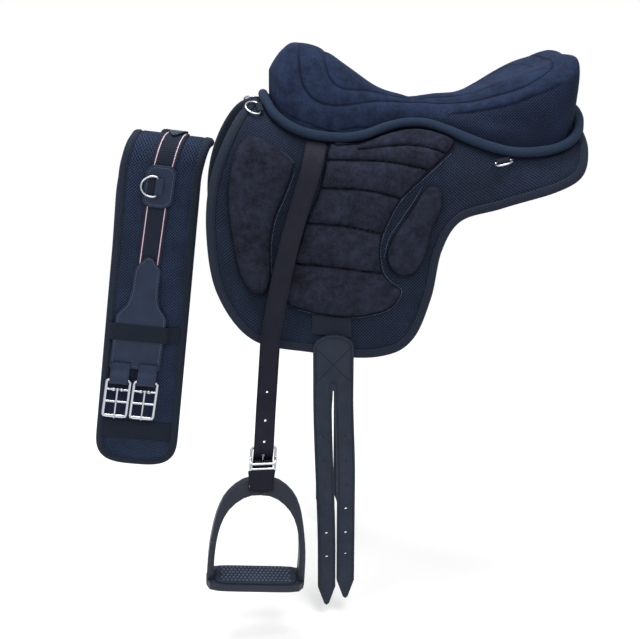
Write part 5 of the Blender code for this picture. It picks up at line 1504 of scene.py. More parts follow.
def stations(base: Array, holes: Sequence[float], radius: float) -> Array:
    """Row places for a strap: the plain ones, and five through each hole."""
    near = np.array([h + k * radius / 2 for h in holes for k in (-4, -3, -2, -1, 0, 1, 2, 3, 4)])
    if not len(near):
        return base
    clear = np.abs(base[:, None] - np.array(holes)[None]).min(1) > radius * 2.4
    return np.sort(np.concatenate([base[clear], near]))


@dataclass
class StirrupLeather:
    """A strap that hangs from the web, passes through its buckle, round the stirrup's bar and
    back up in front. The far one is run up, out of sight behind the flap."""

    side: Side
    width: float = 0.030
    thickness: float = 0.0036
    rise: float = 0.0150
    top: float = 0.0950
    top_rise: float = 0.0049
    bar: float = 0.6202
    loop: float = 0.0097
    tail: float = 0.014
    knee: float = 0.400
    near_x: tuple[float, float, float] = (-0.137, -0.214, -0.232)
    far_x: tuple[float, float] = (-0.137, -0.151)
    sweep_forward: float = 0.0062
    over_cushion: float = 0.0020
    weave: float = 0.0030
    run_up_bar: float = 0.172
    run_up_loop: float = 0.497
    run_up_step: float = 0.0046
    buckle_above: float = 0.0262
    buckle_bar: float = 0.0020
    front_bar: float = 0.0094
    frame: tuple[float, float, float] = (0.0185, 0.0270, 0.0125)
    hole: float = 0.0017

    @staticmethod
    def bend(centre: tuple[float, float], radius: float, start: float, end: float) -> list:
        """Points of an arc in the strap's side view."""
        return [tuple(p) for p in unit_arc(start, end, 13) * radius + centre]

    def path(self) -> tuple[Array, tuple[float, float], tuple[float, float]]:
        """Middle line in side view (w down the flap, n off it), the stirrup's bar and the
        buckle's crossbar."""
        rise = self.rise
        run_up = self.side is Side.FAR
        bar = self.run_up_bar if run_up else self.bar
        cross = bar - self.buckle_above
        turn = self.thickness / 2 + 1.45 * self.buckle_bar + SEAT_GAP
        start = [(self.top, self.top_rise), (0.108, 0.0100), (0.124, rise - 0.0010),
                 (0.150, rise), (0.200, rise)]
        line = [tuple(p) for p in curve_through(start, False, 0.004)]
        if run_up:
            inner = rise + self.run_up_step
            outer = inner + 2 * self.loop
            line += self.bend((self.run_up_loop, rise + self.run_up_step / 2),
                              self.run_up_step / 2, -90, 90)
            crossing = [(bar + 0.050, inner), (bar + 0.030, inner), (bar + 0.018, inner + 0.0020),
                        (bar + 0.0108, inner + 0.0070), (bar + 0.0080, inner + 0.0150),
                        (bar - 0.002, outer), (bar - 0.008, outer)]
            line += [tuple(p) for p in curve_through(crossing, False, 0.0015)]
        else:
            plane = rise + self.weave
            outer = plane + turn
            inner = outer - 2 * self.loop
            weave = [(cross - 0.110, rise), (cross - 0.080, rise), (cross - 0.046, plane + 0.0030),
                     (cross - 0.032, plane + 0.0052), (cross - 0.0250, plane + 0.0052),
                     (cross - 0.0125, plane - 0.0022), (cross - 0.004, plane - 0.0086),
                     (cross + 0.006, inner + 0.0010), (cross + 0.016, inner), (bar, inner)]
            line += [tuple(p) for p in curve_through(weave, False, 0.0015)[:-1]]
            line += self.bend((bar, inner + self.loop), self.loop, -90, 90)
        line += self.bend((cross, outer - turn), turn, 90, 270)
        line += [(cross + self.tail, outer - 2 * turn)]
        return np.array(line), (bar, inner + self.loop), (cross, outer - turn)

    def point(self, u: Array, w: Array, n: Array) -> Array:
        """World places: laid to the surface at the top, flat across lower down."""
        u, w, n = (np.asarray(a, float) for a in np.broadcast_arrays(u, w, n))
        if self.side is Side.NEAR:
            shift = self.sweep_forward * np.sin(np.clip((w - 0.135) / 0.265, 0.0, 1.0) * np.pi)
            x = np.interp(w, (self.top, self.knee, self.bar), self.near_x) - shift
        else:
            x = np.interp(w, (self.top, self.run_up_bar - 0.025), self.far_x)
        sign = self.side.value
        if self.side is Side.NEAR:
            n = n + 0.50 * shift
            n = n + self.over_cushion * ease(w, 0.20, 0.26) * (1 - ease(w, 0.365, 0.41))
        laid = BASE.place(x + u, sign * w, n)
        flat = BASE.place(x, sign * w, n)
        flat[..., 0] += u
        share = ease(w, 0.13, 0.25)[..., None]
        return laid * (1 - share) + flat * share

    def build(self) -> None:
        """Strap, buckle and tongue."""
        line, bar_at, cross_at = self.path()
        line = resample(line, 0.0006, False)
        along = lengths(line)
        length = along[-1]
        front = along > length - self.tail - 0.020
        apex = along[np.argmin(line[:, 0] + np.where(front, 0.0, 1.0))]
        spans = [(apex - 0.0110, apex + 0.0110)]
        holes: list[float] = []
        if self.side is Side.NEAR:
            dive = along[np.argmin(np.abs(line[:, 0] - cross_at[0] + 0.0150))]
            spans.insert(0, (dive - 0.0025, dive + 0.0062))
            holes = [along[np.argmin(np.abs(line[:, 0] - w) + (along > dive))]
                     for w in (0.4815, 0.5255, 0.5575)]
        v = stations(np.arange(0.0, length + 1e-6, length / round(length / 0.0014)), holes,
                     self.hole)
        ends = np.array([a for span in spans for a in span])
        v = np.sort(np.concatenate([v[np.abs(v[:, None] - ends).min(1) > 0.0004], ends]))
        half, r = self.width / 2, self.hole
        u = np.array([-half, -0.0140, -0.0110, -0.0075, -2 * r, -1.5 * r, -r, -r / 2, 0.0])
        u = np.concatenate([u, -u[-2::-1]])
        grid = lattice(u, v)
        grid, keep = punch(grid, np.array([(0.0, h) for h in holes]).reshape(-1, 2), r)
        middle = (v[1:] + v[:-1]) / 2
        cell_u = np.abs((u[1:] + u[:-1]) / 2)
        for low, high in spans:
            keep &= ~(((middle > low) & (middle < high))[:, None] & (cell_u < r * 1.02)[None, :])
        w, n = (np.interp(grid[..., 1], along, line[:, k]) for k in (0, 1))
        rounded = 1 - 0.5 * (1 - np.sqrt(1 - (1 - np.clip(v / 0.006, 0.0, 1.0)) ** 2))
        points = self.point(grid[..., 0] * rounded[:, None], w, n)
        edge = np.minimum(half - np.abs(grid[..., 0]),
                          np.minimum(grid[..., 1], length - grid[..., 1]))
        piece = strap(self.side.name_of("leather_dressed"), points, grid, edge, self.thickness,
                      Cloths.strap_leather, keep, bevel=0.0007)
        body = self.side.name_of("leather")
        publish(piece, body)
        self.buckle(cross_at, body)
        if self.side is Side.NEAR:
            self.flap(bar_at, body)

    def flap(self, bar_at: tuple[float, float], body: str) -> None:
        """The bare tail that hangs below the buckle, in front of the stirrup's eye."""
        v = np.linspace(-0.0185, 0.0135, 34)
        share = (v - v[0]) / (v[-1] - v[0])
        half = (0.0206 - 0.0034 * share) * (1 - 0.22 * (1 - quarter(v[-1] - v, 0.0045)))
        u = np.linspace(-1.0, 1.0, 15)
        grid = np.stack(np.broadcast_arrays(half[:, None] * u[None, :], v[:, None]), -1)
        n = bar_at[1] + self.loop + self.thickness + SEAT_GAP + 0.0006 * (1 - share)[:, None]
        across = grid[..., 0] - 0.0012 + 0.0010 * share[:, None]
        points = self.point(across, bar_at[0] + grid[..., 1], n + 0 * across)
        edge = np.minimum(half[:, None] * (1 - np.abs(u))[None, :], (v[-1] - v)[:, None])
        piece = strap(self.side.name_of("leather_tail"), points, grid, edge,
                      self.thickness - 0.0004, Cloths.strap_leather, bevel=0.0007)
        self.side.name_of("stirrup")
        tuple(points[6, 7])
        tuple(points[26, 7])
        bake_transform(piece)

    def buckle(self, cross_at: tuple[float, float], body: str) -> None:
        """Square buckle of bent bar with a crossbar, and its tongue."""
        w0, n0 = cross_at
        zero = np.zeros(1)

        def at(u: Array, v: Array, t: Array) -> Array:
            """Places round the crossbar: v down the strap, t off it."""
            return self.point(u, w0 + v, n0 + t)

        up = (at(zero, zero, zero + 1e-3) - at(zero, zero, zero))[0]
        wide, high, low = self.frame
        loop = resample(rounded_box(wide, -high, low, 0.0045), 0.0016, True)
        bowed = self.front_bar * ease(loop[:, 1], -0.0120, -0.0040) * (
            1 - ease(loop[:, 1], 0.0060, 0.0108))
        shell = Shell()
        shell.sweep(at(loop[:, 0], loop[:, 1], bowed), circle(self.buckle_bar, 16, 0.7), up,
                    closed=True)
        u = np.linspace(-wide, wide, 12)
        for v, t in ((0.0, 0.0), (-0.0030, self.front_bar), (0.0048, self.front_bar)):
            shell.sweep(at(u, 0 * u + v, 0 * u + t), circle(0.0018, 14), up)
        publish(shell.build(self.side.name_of("leather_buckle_dressed"),
                            [Cloths.steel]), body)
        v = np.linspace(-0.0288, 0.0018, 26)
        t = -0.0036 - 0.0002 * np.sin((v - v[0]) / (v[-1] - v[0]) * np.pi)
        size = np.minimum(quarter(v - v[0], 0.0016), quarter(v[-1] - v, 0.0016))
        shell = Shell()
        shell.sweep(at(0 * v, v, t), circle(0.0013, 12), up, size=size)
        publish(shell.build(self.side.name_of("leather_tongue_dressed"),
                            [Cloths.steel]), body)


@dataclass
class Stirrup:
    """Moulded stirrup, whose solid is kept, with a studded rubber pad on its tread."""

    side: Side
    width: float = 0.152
    height: float = 0.181
    leg: float = 0.0105
    tread: float = 0.011
    pad: float = 0.003
    roll: float = math.radians(4.2)
    tilt: float = math.radians(24)

    def hang(self, local: Array) -> Array:
        """World places of the stirrup's own places, which hang from its bar."""
        _, bar_at, _ = StirrupLeather(self.side).path()
        at = StirrupLeather(self.side).point(np.zeros(1), np.array([bar_at[0]]),
                                             np.array([bar_at[1]]))[0]
        if self.side is Side.NEAR:
            c, s = math.cos(self.roll), math.sin(self.roll)
            turn = np.array([[c, 0, s], [0, 1, 0], [-s, 0, c]])
        else:
            c, s = math.cos(self.tilt), math.sin(self.tilt)
            turn = np.array([[1, 0, 0], [0, c, -s], [0, s, c]])
        return at + local @ turn.T

    def build(self) -> None:
        """Pad with rows of small pyramids, cut off on top, eighteen by six."""
        keep_solid(self.side.name_of("stirrup"), Cloths.polymer)
        half = self.width / 2 - self.leg - 0.002
        outline = curve_through([(-half, -0.013), (-half, 0.013), (-half + 0.012, 0.0245),
                                 (0.0, 0.026), (half - 0.012, 0.0245), (half, 0.013),
                                 (half, -0.013), (half - 0.012, -0.0245), (0.0, -0.026),
                                 (-half + 0.012, -0.0245)], True, 0.003)
        grid, away = pillow_grid(outline, ((-half, 0.0), (half, 0.0)), 60, 26)
        floor = self.height - 0.006 + 0.0015
        sign = self.side.value

        def lying(u: Array, v: Array, t: Array) -> Array:
            """Places on the tread."""
            return self.hang(np.stack(np.broadcast_arrays(u, -sign * v, t - floor), -1))

        low = np.full(away.shape, self.tread + SEAT_GAP)
        rim = 0.0008 * groove(away - 0.004, 0.0014)
        shell = Shell()
        shell.closed_sheet(lying, grid, low, low + 0.0012 + (self.pad - 0.0018)
                           * quarter(away, 0.002) + rim, away)
        x, y = np.meshgrid(np.linspace(-0.051, 0.051, 18), np.linspace(-0.0190, 0.0190, 6))
        x = x + np.where(np.arange(6)[:, None] % 2, 0.0014, -0.0014)
        centres = np.stack([x.ravel(), y.ravel()], -1)
        corner = np.array([(-1, -1), (1, -1), (1, 1), (-1, 1)], float)
        base = self.tread + SEAT_GAP + 0.0018
        spots = np.concatenate([centres[:, None] + corner * 0.0020,
                                centres[:, None] + corner * 0.0012], 1)
        rise = np.broadcast_to(np.array([base] * 4 + [base + 0.0020] * 4), spots.shape[:2])
        one = np.vstack([quads(2, 4, wrap_columns=True), [[4, 5, 6, 7], [3, 2, 1, 0]]])
        faces = (np.arange(len(centres))[:, None, None] * 8 + one).reshape(-1, 4)
        shell.add(lying(spots[..., 0], spots[..., 1], rise), faces, spots, slot=1)
        piece = shell.build(self.side.name_of("tread_pad_dressed"),
                            [Cloths.rubber, Cloths.stud_rubber], sharp=35)
        publish(piece, self.side.name_of("stirrup"))


# ---------------------------------------------------------------------------------------------
# Billets


@dataclass
class Billets:
    """Two leather straps from one stitched head, hung from webbing on the flap."""

    side: Side
    width: float = 0.062
    thickness: float = 0.0045
    head: float = -0.300
    crown: float = 0.020
    notch: float = -0.390
    slit: float = 0.005
    tips: tuple[float, float] = (-0.766, -0.755)
    taper: float = 0.034
    at: float = -0.120
    far_step: float = 0.024
    hole_top: float = -0.465
    hole_pitch: float = 0.0425
    holes: int = 6
    hole: float = 0.0024
    hinge: float = -0.292
    flap_depth: float = PaddedBase.depth

    def columns(self) -> Array:
        """Column places across both straps, with five through each row of holes."""
        half, slit, r = self.width / 2, self.slit / 2, self.hole
        mid = (half + slit) / 2
        right = np.array([slit, slit + 0.0012, slit + 0.0045, mid - 2 * r, mid - 1.5 * r, mid - r,
                          mid - r / 2, mid, mid + r / 2, mid + r, mid + 1.5 * r, mid + 2 * r,
                          half - 0.0045, half - 0.0012, half])
        return np.concatenate([-right[::-1], right])

    def build(self) -> None:
        """The pair of straps, and the webbing that carries it."""
        side, half, slit = self.side, self.width / 2, self.slit / 2
        centre = self.at + (self.far_step if side is Side.FAR else 0.0)
        mid = (half + slit) / 2
        u = self.columns()
        holes = [self.hole_top - k * self.hole_pitch for k in range(self.holes)]
        crown = self.head - self.crown * (1 - np.cos(np.linspace(0.0, np.pi / 2, 9)))
        plain = np.arange(self.head - 0.023, self.notch, -0.004)
        start = min(self.tips) + self.taper
        below = np.arange(self.notch, start, -0.004)
        tip = start - self.taper * np.linspace(0.0, 1.0, 12)
        v = np.concatenate([crown, plain, below, tip])
        v = stations(np.unique(np.round(v, 6)), holes, self.hole)[::-1]
        grid = lattice(u, v)
        centres = np.array([(a, h) for a in (-mid, mid) for h in holes])
        grid, keep = punch(grid, centres, self.hole)
        middle = (v[1:] + v[:-1]) / 2
        keep &= ~((middle < self.notch)[:, None]
                  & (np.abs((u[1:] + u[:-1]) / 2) < slit * 0.9)[None, :])
        x, z = grid[..., 0], grid[..., 1]
        over = z - self.head + self.crown
        arch = np.sqrt(np.clip(1 - (over / self.crown) ** 2, 0.0, 1.0))
        x = np.where(over > 0, x * (0.03 + 0.97 * arch), x)
        right = x > 0
        offset = np.where(right, self.tips[1] - min(self.tips), self.tips[0] - min(self.tips))
        share = np.clip((start - z) / self.taper, 0.0, 1.0)
        own = np.where(right, mid, -mid)
        narrow = 1 - 0.80 * share - 0.20 * ease(share, 0.93, 1.0)
        x = np.where(z < start, own + (x - own) * np.maximum(narrow, 0.02), x)
        z = z + offset * ease(z, -0.64, start)
        z = np.where(grid[..., 1] < start, grid[..., 1] + offset, z)
        closed = ease(self.head - z, 0.040, 0.060) * (1 - ease(self.notch - z, 0.002, 0.036))
        closed = closed * (1 - ease(np.abs(x) - slit, 0.0, 0.006))
        x = x - np.sign(x) * 0.0017 * closed
        edge = np.minimum(half - np.abs(grid[..., 0]), np.where(
            z < self.notch, np.abs(grid[..., 0]) - slit, 0.05))
        edge = np.minimum(np.abs(edge), np.abs(self.head - z))
        flap = BASE.place(centre, self.flap_depth, 0.0)
        inner = abs(float(flap[1])) + SEAT_GAP

        def at(a: Array, b: Array, t: Array) -> Array:
            """Places on the hanging straps, which lean back a little: t off their inner face."""
            drop = self.head - b
            if side is Side.NEAR:
                lean = 0.002 + np.where(a < 0, 0.007 * ease(drop, 0.09, 0.38),
                                        0.004 * ease(drop, 0.09, 0.24))
            else:
                lean = 0.0075 * ease(drop, 0.02, 0.20)
            return np.stack(np.broadcast_arrays(centre + a + lean, -side.value * (inner + t), b),
                            -1)

        flat = np.stack([x, z], -1)
        body = side.name_of("billets")
        piece = strap(side.name_of("billets_dressed"), at(x, z, self.thickness / 2), flat, edge,
                      self.thickness, Cloths.billet_leather, keep, bevel=0.0008)
        publish(piece, body)

        inset = 0.0045
        bow = unit_arc(0, 180, 20)
        head = bow * (half - inset, self.crown - inset) + (0.0, self.head - self.crown)
        foot = self.notch + 0.014
        border = np.vstack([[(half - inset, foot)], head, [(-half + inset, foot)]])
        top = self.notch + 0.008
        beside = 0.0032
        keyhole = bow * (slit + beside) + (0.0, top)
        cross = np.array([(-half + inset, self.head - self.crown), (half - inset, foot)])
        shell = Shell()
        for line in (border, cross, cross * (-1, 1), keyhole):
            shell.stitches(at, resample(line, 0.002, False), self.thickness, pitch=0.0040,
                           length=0.0034, radius=0.0005)
        for sign in (-1, 1):
            for rim in (slit + beside, half - beside):
                low = self.tips[sign > 0] + self.taper + 0.004
                line = np.array([(sign * rim, top), (sign * rim, low)])
                shell.stitches(at, line, self.thickness, pitch=0.0040, length=0.0032,
                               radius=0.00042)
        publish(shell.build(side.name_of("billet_stitching"), [Cloths.thread]), body)
        self.web(centre, flap)

    def web(self, centre: float, flap: Array) -> None:
        """Webbing sewn to the flap, from under the thigh panel down to the straps' head."""
        hinge_s = self.flap_depth - (self.hinge - float(flap[2])) / math.sin(BASE.flap_slope)
        u, s = np.linspace(-0.030, 0.030, 15), np.linspace(0.353, hinge_s + 0.012, 40)
        grid = lattice(u, s)
        points = BASE.on(self.side)(centre + grid[..., 0], grid[..., 1], SEAT_GAP + 0.0011)
        edge = 0.030 - np.abs(grid[..., 0])
        piece = strap(self.side.name_of("billet_web_dressed"), points, grid, edge, 0.0022,
                      Cloths.webbing, bevel=0.0004)
        publish(piece, "saddle")


# ---------------------------------------------------------------------------------------------
# Dees


@dataclass
class Dees:
    """Steel D-rings on folded tabs: two in front of the seat, two behind it."""

    wire: float = 0.0016
    width: float = 0.030
    reach: float = 0.020
    tab: float = 0.0014
    clear: float = 0.0001

    @staticmethod
    def loop(width: float, reach: float) -> Array:
        """A D: a straight bar along u and a bow towards +v."""
        half, corner = width / 2, 0.006
        bow = unit_arc(0, 180, 33) * (half, reach - corner) + (0.0, corner)
        bar = np.array([(-half + 0.0006, 0.0022), (-half + 0.002, 0.0006), (-half + 0.005, 0.0),
                        (0.0, 0.0), (half - 0.005, 0.0), (half - 0.002, 0.0006),
                        (half - 0.0006, 0.0022)])
        return resample(np.vstack([bow, bar]), 0.0012, True)

    def ring(self, name: str, at: Array, across: Array, bow: Array, width: float, reach: float,
             body: str) -> None:
        """A round bar bent to a D in the plane of two directions."""
        flat = self.loop(width, reach)
        path = at + flat[:, :1] * across + flat[:, 1:] * bow
        shell = Shell()
        shell.sweep(path, circle(self.wire, 16), np.cross(across, bow), closed=True)
        publish(shell.build(name, [Cloths.steel]), body)

    def fold(self, name: str, bar: Array, across: Array, back: Array, width: float,
             length: float, finish: Finish, slot: str, body: str) -> None:
        """A tab folded round a ring's bar: its middle line is a half turn with two legs."""
        lift = unit(np.cross(across, back))
        lift = lift if lift[2] >= 0 else -lift
        r = self.wire + SEAT_GAP + self.tab / 2
        legs = np.linspace(length - 0.0002, 0.0008, 5)
        line = np.vstack([np.stack([legs, np.full(5, r)], -1),
                          unit_arc(90, 270, 17) * r,
                          np.stack([legs[::-1], np.full(5, -r)], -1)])
        u = np.linspace(-width / 2, width / 2, 11)
        points = (bar + u[None, :, None] * across + line[:, None, :1] * back
                  + line[:, None, 1:] * lift)
        along = lengths(line)
        uv = lattice(u, along)
        edge = np.broadcast_to(width / 2 - np.abs(u)[None, :], points.shape[:2])
        piece = strap(name, points, uv, edge, self.tab, finish, bevel=0.0003)
        publish(piece, body)

    def build(self) -> None:
        """The four dees of the base and their tabs."""
        height = self.wire + 2 * SEAT_GAP + self.tab + self.clear
        for side in Side:
            place = BASE.on(side)
            for end, (x, s) in (("front", (-0.2215, 0.047)), ("rear", (0.140, 0.1335))):
                at, ahead, down, out = tangents(place, x, s, height)
                if end == "front":
                    c, d = math.cos(math.radians(-14)), math.sin(math.radians(-14))
                    ahead, down = ahead * c + down * d, down * c - ahead * d
                    across, bow, back = down, -ahead, ahead
                else:
                    lift = math.radians(54)
                    across, back = ahead, -down
                    bow = down * math.cos(lift) + out * math.sin(lift)
                self.ring(side.name_of(end + "_dee_dressed"), at, across, bow, self.width,
                          self.reach, side.name_of(end + "_dee"))
                self.fold(side.name_of(end + "_tab_dressed"), at, across, back, 0.020, 0.0050,
                          Cloths.webbing, "webbing", "saddle")


def tangents(place: Place, x: float, s: float, h: float) -> tuple[Array, Array, Array, Array]:
    """Point, direction of x, direction of s and outward normal at a pattern place."""
    step = 0.002
    at = place(x, s, h)
    ahead = unit(place(x + step, s, h) - place(x - step, s, h))
    down = place(x, s + step, h) - place(x, s - step, h)
    down = unit(down - ahead * (down @ ahead))
    out = place(x, s, h + step) - at
    return at, ahead, down, unit(out - ahead * (out @ ahead) - down * (out @ down))


# ---------------------------------------------------------------------------------------------
# The girth


@dataclass
class Girth:
    """Padded girth hung over a rail: mesh pad with a bound edge, elastic web, leather ends with
    roller buckles, keepers, and a patch with a dee."""

    half: float = 0.059
    end_half: float = 0.066
    near: float = 0.550
    far: float = 0.330
    corner: float = 0.055
    thickness: float = 0.012
    web_width: float = 0.038
    web: float = 0.0020
    leather: float = 0.0032
    tip: float = 0.191
    far_tip: float = 0.012
    chape: float = 0.2080
    chape_width: float = 0.0300
    buckle_width: float = 0.041
    buckle_height: float = 0.066
    pitch: float = 0.0435
    bar: float = 0.0040
    patch: tuple[float, float, float] = (0.0235, 0.046, 0.112)
    dee_at: tuple[float, float] = (-0.003, 0.079)
    keeper: float = 0.0014
    keeper_ends: tuple[float, float] = (-0.0590, 0.0530)
    hump_half: float = 0.0415

    def outline(self, step: float) -> Array:
        """The pad's edge: broader at its near end, each end a superellipse |cos t|^p, sin(t)^p."""
        a, b, near, far = self.end_half, self.half, self.near, self.far
        turn = np.linspace(0.0, np.pi, 61)
        across = np.sign(np.cos(turn)) * np.abs(np.cos(turn)) ** 0.62
        down = np.sin(turn) ** 0.62
        low = np.stack([a * across, near - self.corner + self.corner * down], -1)
        high = np.stack([-b * across, -far + self.corner - self.corner * down], -1)
        return resample(np.vstack([low, high]), step, True)

    def pad(self) -> None:
        """The pad, thinner at its bound edge, and the tape round it."""
        outline = self.outline(0.004)
        v = self.rows()
        left = np.stack([-np.interp(v, *self.half_at()), v], -1)
        grid = left[:, None] * np.stack([1 - 2 * spread(64, 0.85), np.ones(64)], -1)[None]
        away = edge_distance(grid, outline)
        deep = self.thickness
        high = deep * 0.6 + deep * 0.4 * quarter(away, 0.006) - 0.0010 * groove(
            away - 0.0128, 0.0022)
        low = 0.003 * (1 - quarter(away, 0.006))
        shell = Shell()
        shell.closed_sheet(GIRTH.place, grid, low, high, away)
        publish(shell.build("girth_pad_dressed", [Cloths.girth_mesh]), "girth")
        profile = np.array([(0.0118, deep - 0.0012), (0.0118, deep + 0.0002),
            (0.0108, deep + 0.0007), (0.0060, deep + 0.0007), (0.0025, deep - 0.0006),
            (0.0004, deep * 0.75), (-0.0008, deep * 0.5), (0.0004, 0.0016), (0.0030, -0.0002),
            (0.0060, -0.0007), (0.0112, -0.0006), (0.0118, 0.0006)])
        bound_edge("girth_binding", "girth", GIRTH.place, outline, (0.0, 0.1), profile,
                   0.0028, (0.0092, deep + 0.0007), closed=True)

    def rows(self) -> Array:
        """Places along the pad, closer over the fold and at its ends."""
        ends = 0.060 * (1 - np.cos(np.linspace(0, np.pi / 2, 20)))
        fold = np.linspace(-0.046, 0.046, 36)
        middle = np.concatenate([np.arange(-self.far + 0.065, -0.048, 0.006),
                                 np.arange(0.050, self.near - 0.062, 0.006)])
        return np.unique(np.round(np.concatenate([ends - self.far, fold, middle,
                                                  self.near - ends]), 6))

    def half_at(self) -> tuple[Array, Array]:
        """The pad's half width by place along it."""
        outline = self.outline(0.002)
        right = outline[outline[:, 0] >= -1e-4]
        order = np.argsort(right[:, 1])
        v, u = right[order, 1], right[order, 0]
        return (np.concatenate([[-self.far], v, [self.near]]), np.concatenate([[0.0], u, [0.0]]))

    def strips(self) -> None:
        """Elastic web along the middle, the stitched patch and its dee."""
        base = self.thickness + SEAT_GAP
        u = np.linspace(-self.web_width / 2, self.web_width / 2, 13)
        v = np.concatenate([np.linspace(-0.0306, 0.046, 34), np.arange(0.050, self.tip + 0.03,
                                                                       0.004)])
        grid = lattice(u, v)
        points = GIRTH.strap(grid[..., 0], grid[..., 1], base + self.web / 2)
        edge = self.web_width / 2 - np.abs(grid[..., 0])
        publish(strap("girth_web_dressed", points, grid, edge, self.web,
                      Cloths.girth_web, bevel=0.0004), "girth")
        low = base + self.web + SEAT_GAP
        half, start, end = self.patch
        outline = resample(rounded_box(half, start, end, 0.014, 9), 0.002, True)
        grid, away = pillow_grid(outline, ((0.0, start), (0.0, end)), 44, 30)
        rolled = 0.0008 * (1 - quarter(away, 0.0008))
        shell = Shell()
        shell.closed_sheet(GIRTH.strap, grid, low + rolled, low + self.leather - rolled, away)
        publish(shell.build("girth_patch_dressed", [Cloths.girth_leather]), "girth")
        shell = Shell()
        centre = (0.0, (start + end) / 2)
        small = (outline - centre) * (0.82, 0.88) + centre
        shell.stitches(GIRTH.strap, small, low + self.leather, closed=True)
        publish(shell.build("girth_patch_stitching", [Cloths.pale_thread]), "girth")
        dees = Dees()
        rise = low + self.leather + 2 * SEAT_GAP + dees.tab + dees.wire
        u, v = self.dee_at
        middle = GIRTH.strap(u, v, rise)
        along = unit(GIRTH.strap(u, v + 0.004, rise) - middle)
        back = unit(GIRTH.strap(u + 0.004, v, rise) - middle)
        dees.ring("girth_dee_dressed", middle, along, -back, 0.032, 0.024, "girth_dee")
        u, v = np.linspace(-0.0165, -0.0068, 7), np.linspace(0.0655, 0.0925, 9)
        grid = lattice(u, v)
        points = GIRTH.strap(grid[..., 0], grid[..., 1],
                             low + self.leather + SEAT_GAP + dees.tab / 2)
        publish(strap("girth_dee_rest", points, grid, 0.05 + 0 * grid[..., 0], dees.tab,
                      Cloths.webbing, bevel=0.0003), "girth")
        dees.fold("girth_dee_tab_dressed", middle, along, back, 0.026, 0.0090,
                  Cloths.girth_leather, "webbing", "girth")

    def chape_path(self) -> tuple[Array, float]:
        """Side view of a leather end: down its block, round the buckle's bar and back on top."""
        turn = self.leather / 2 + 1.45 * self.bar / 2 + SEAT_GAP
        back = self.leather + SEAT_GAP
        bar = self.chape
        lapped = curve_through([(bar, 2 * turn), (bar - 0.008, 1.2 * turn + 0.4 * back),
                                (bar - 0.018, back), (bar - 0.030, back)], False, 0.002)
        line = [(0.0, 0.0)] + StirrupLeather.bend((bar, turn), turn, -90, 90)
        return resample(np.vstack([line, lapped[1:]]), 0.0008, False), turn

    def leather_end(self, side: Side) -> None:
        """Pointed end, broad block with a stitched border, two chapes, keepers and buckles."""
        way = side.value
        tip = self.tip if side is Side.NEAR else self.far_tip
        low = self.thickness + SEAT_GAP + self.web + SEAT_GAP
        middle = low + self.leather / 2
        line, turn = self.chape_path()
        along = lengths(line)

        def place(u: Array, v: Array, t: Array) -> Array:
            """Places on the end, v along its own length from the tip."""
            w = np.interp(v, along, line[:, 0])
            n = np.interp(v, along, line[:, 1])
            return GIRTH.strap(u, tip + way * w, middle + n + t)

        shape = curve_through(mm((0, 0.4), (3, 6), (10, 11.5), (22, 19.8), (50, 20.6), (68, 22.6),
            (82, 26.8), (92, 34.5), (100, 39.2), (108, 40), (150, 40), (190, 40)), False, 0.002)
        shoulder = self.chape - 0.020
        v = np.unique(np.round(np.concatenate([np.linspace(0.0, 0.03, 20),
                                               np.arange(0.032, shoulder, 0.003),
                                               [shoulder]]), 6))
        half = np.interp(v, shape[:, 0], shape[:, 1])
        share = 1 - 2 * spread(25, 0.6)
        grid = np.stack([half[:, None] * share[None, :], np.broadcast_to(v[:, None],
                                                                         (len(v), 25))], -1)
        rim = np.minimum(half[:, None] * (1 - np.abs(share))[None, :], shoulder - grid[..., 1])
        block = GIRTH.strap(grid[..., 0], tip + way * grid[..., 1], middle)
        more = []
        for centre in (-self.pitch / 2, self.pitch / 2):
            u = np.linspace(-self.chape_width / 2, self.chape_width / 2, 11)
            w = np.concatenate([np.arange(shoulder - 0.004, self.chape - 0.004, 0.003),
                                np.linspace(self.chape - 0.002, along[-1], 44)])
            flat = lattice(centre + u, w)
            edge = np.broadcast_to(self.chape_width / 2 - np.abs(u)[None, :], flat.shape[:2])
            more.append((place(flat[..., 0], flat[..., 1], np.full(flat.shape[:2], -0.0002)),
                         flat, edge, None))
        name = side.name_of("girth_leather")
        piece = strap(name + "_dressed", block, grid, rim, self.leather,
                      Cloths.girth_leather, bevel=0.0006, more=more)
        publish(piece, "girth")

        inset = 0.0036
        right = np.stack([np.maximum(half - inset, 0.0), v], -1)[half > inset + 0.001]
        right[0, 0] = 0.0
        border = np.vstack([right, [(right[-1, 0], shoulder - 0.004)],
                            [(-right[-1, 0], shoulder - 0.004)], right[::-1] * (-1, 1)])
        shell = Shell()
        shell.stitches(lambda a, b, t: GIRTH.strap(a, tip + way * np.asarray(b), t),
                       resample(border, 0.002, True), low + self.leather, closed=True)
        publish(shell.build(name + "_stitching", [Cloths.pale_thread]), "girth")
        for band, start, end in (("upper", 0.113, 0.140), ("lower", 0.280, 0.311)):
            self.keeper_band(side.name_of("girth_keeper_" + band),
                             *sorted((tip + way * start, tip + way * end)),
                             low + self.leather if band == "upper" else 0.0)
        for label, across in (("front", -self.pitch / 2), ("rear", self.pitch / 2)):
            self.buckle(side, label, across, tip + way * self.chape, middle + turn)

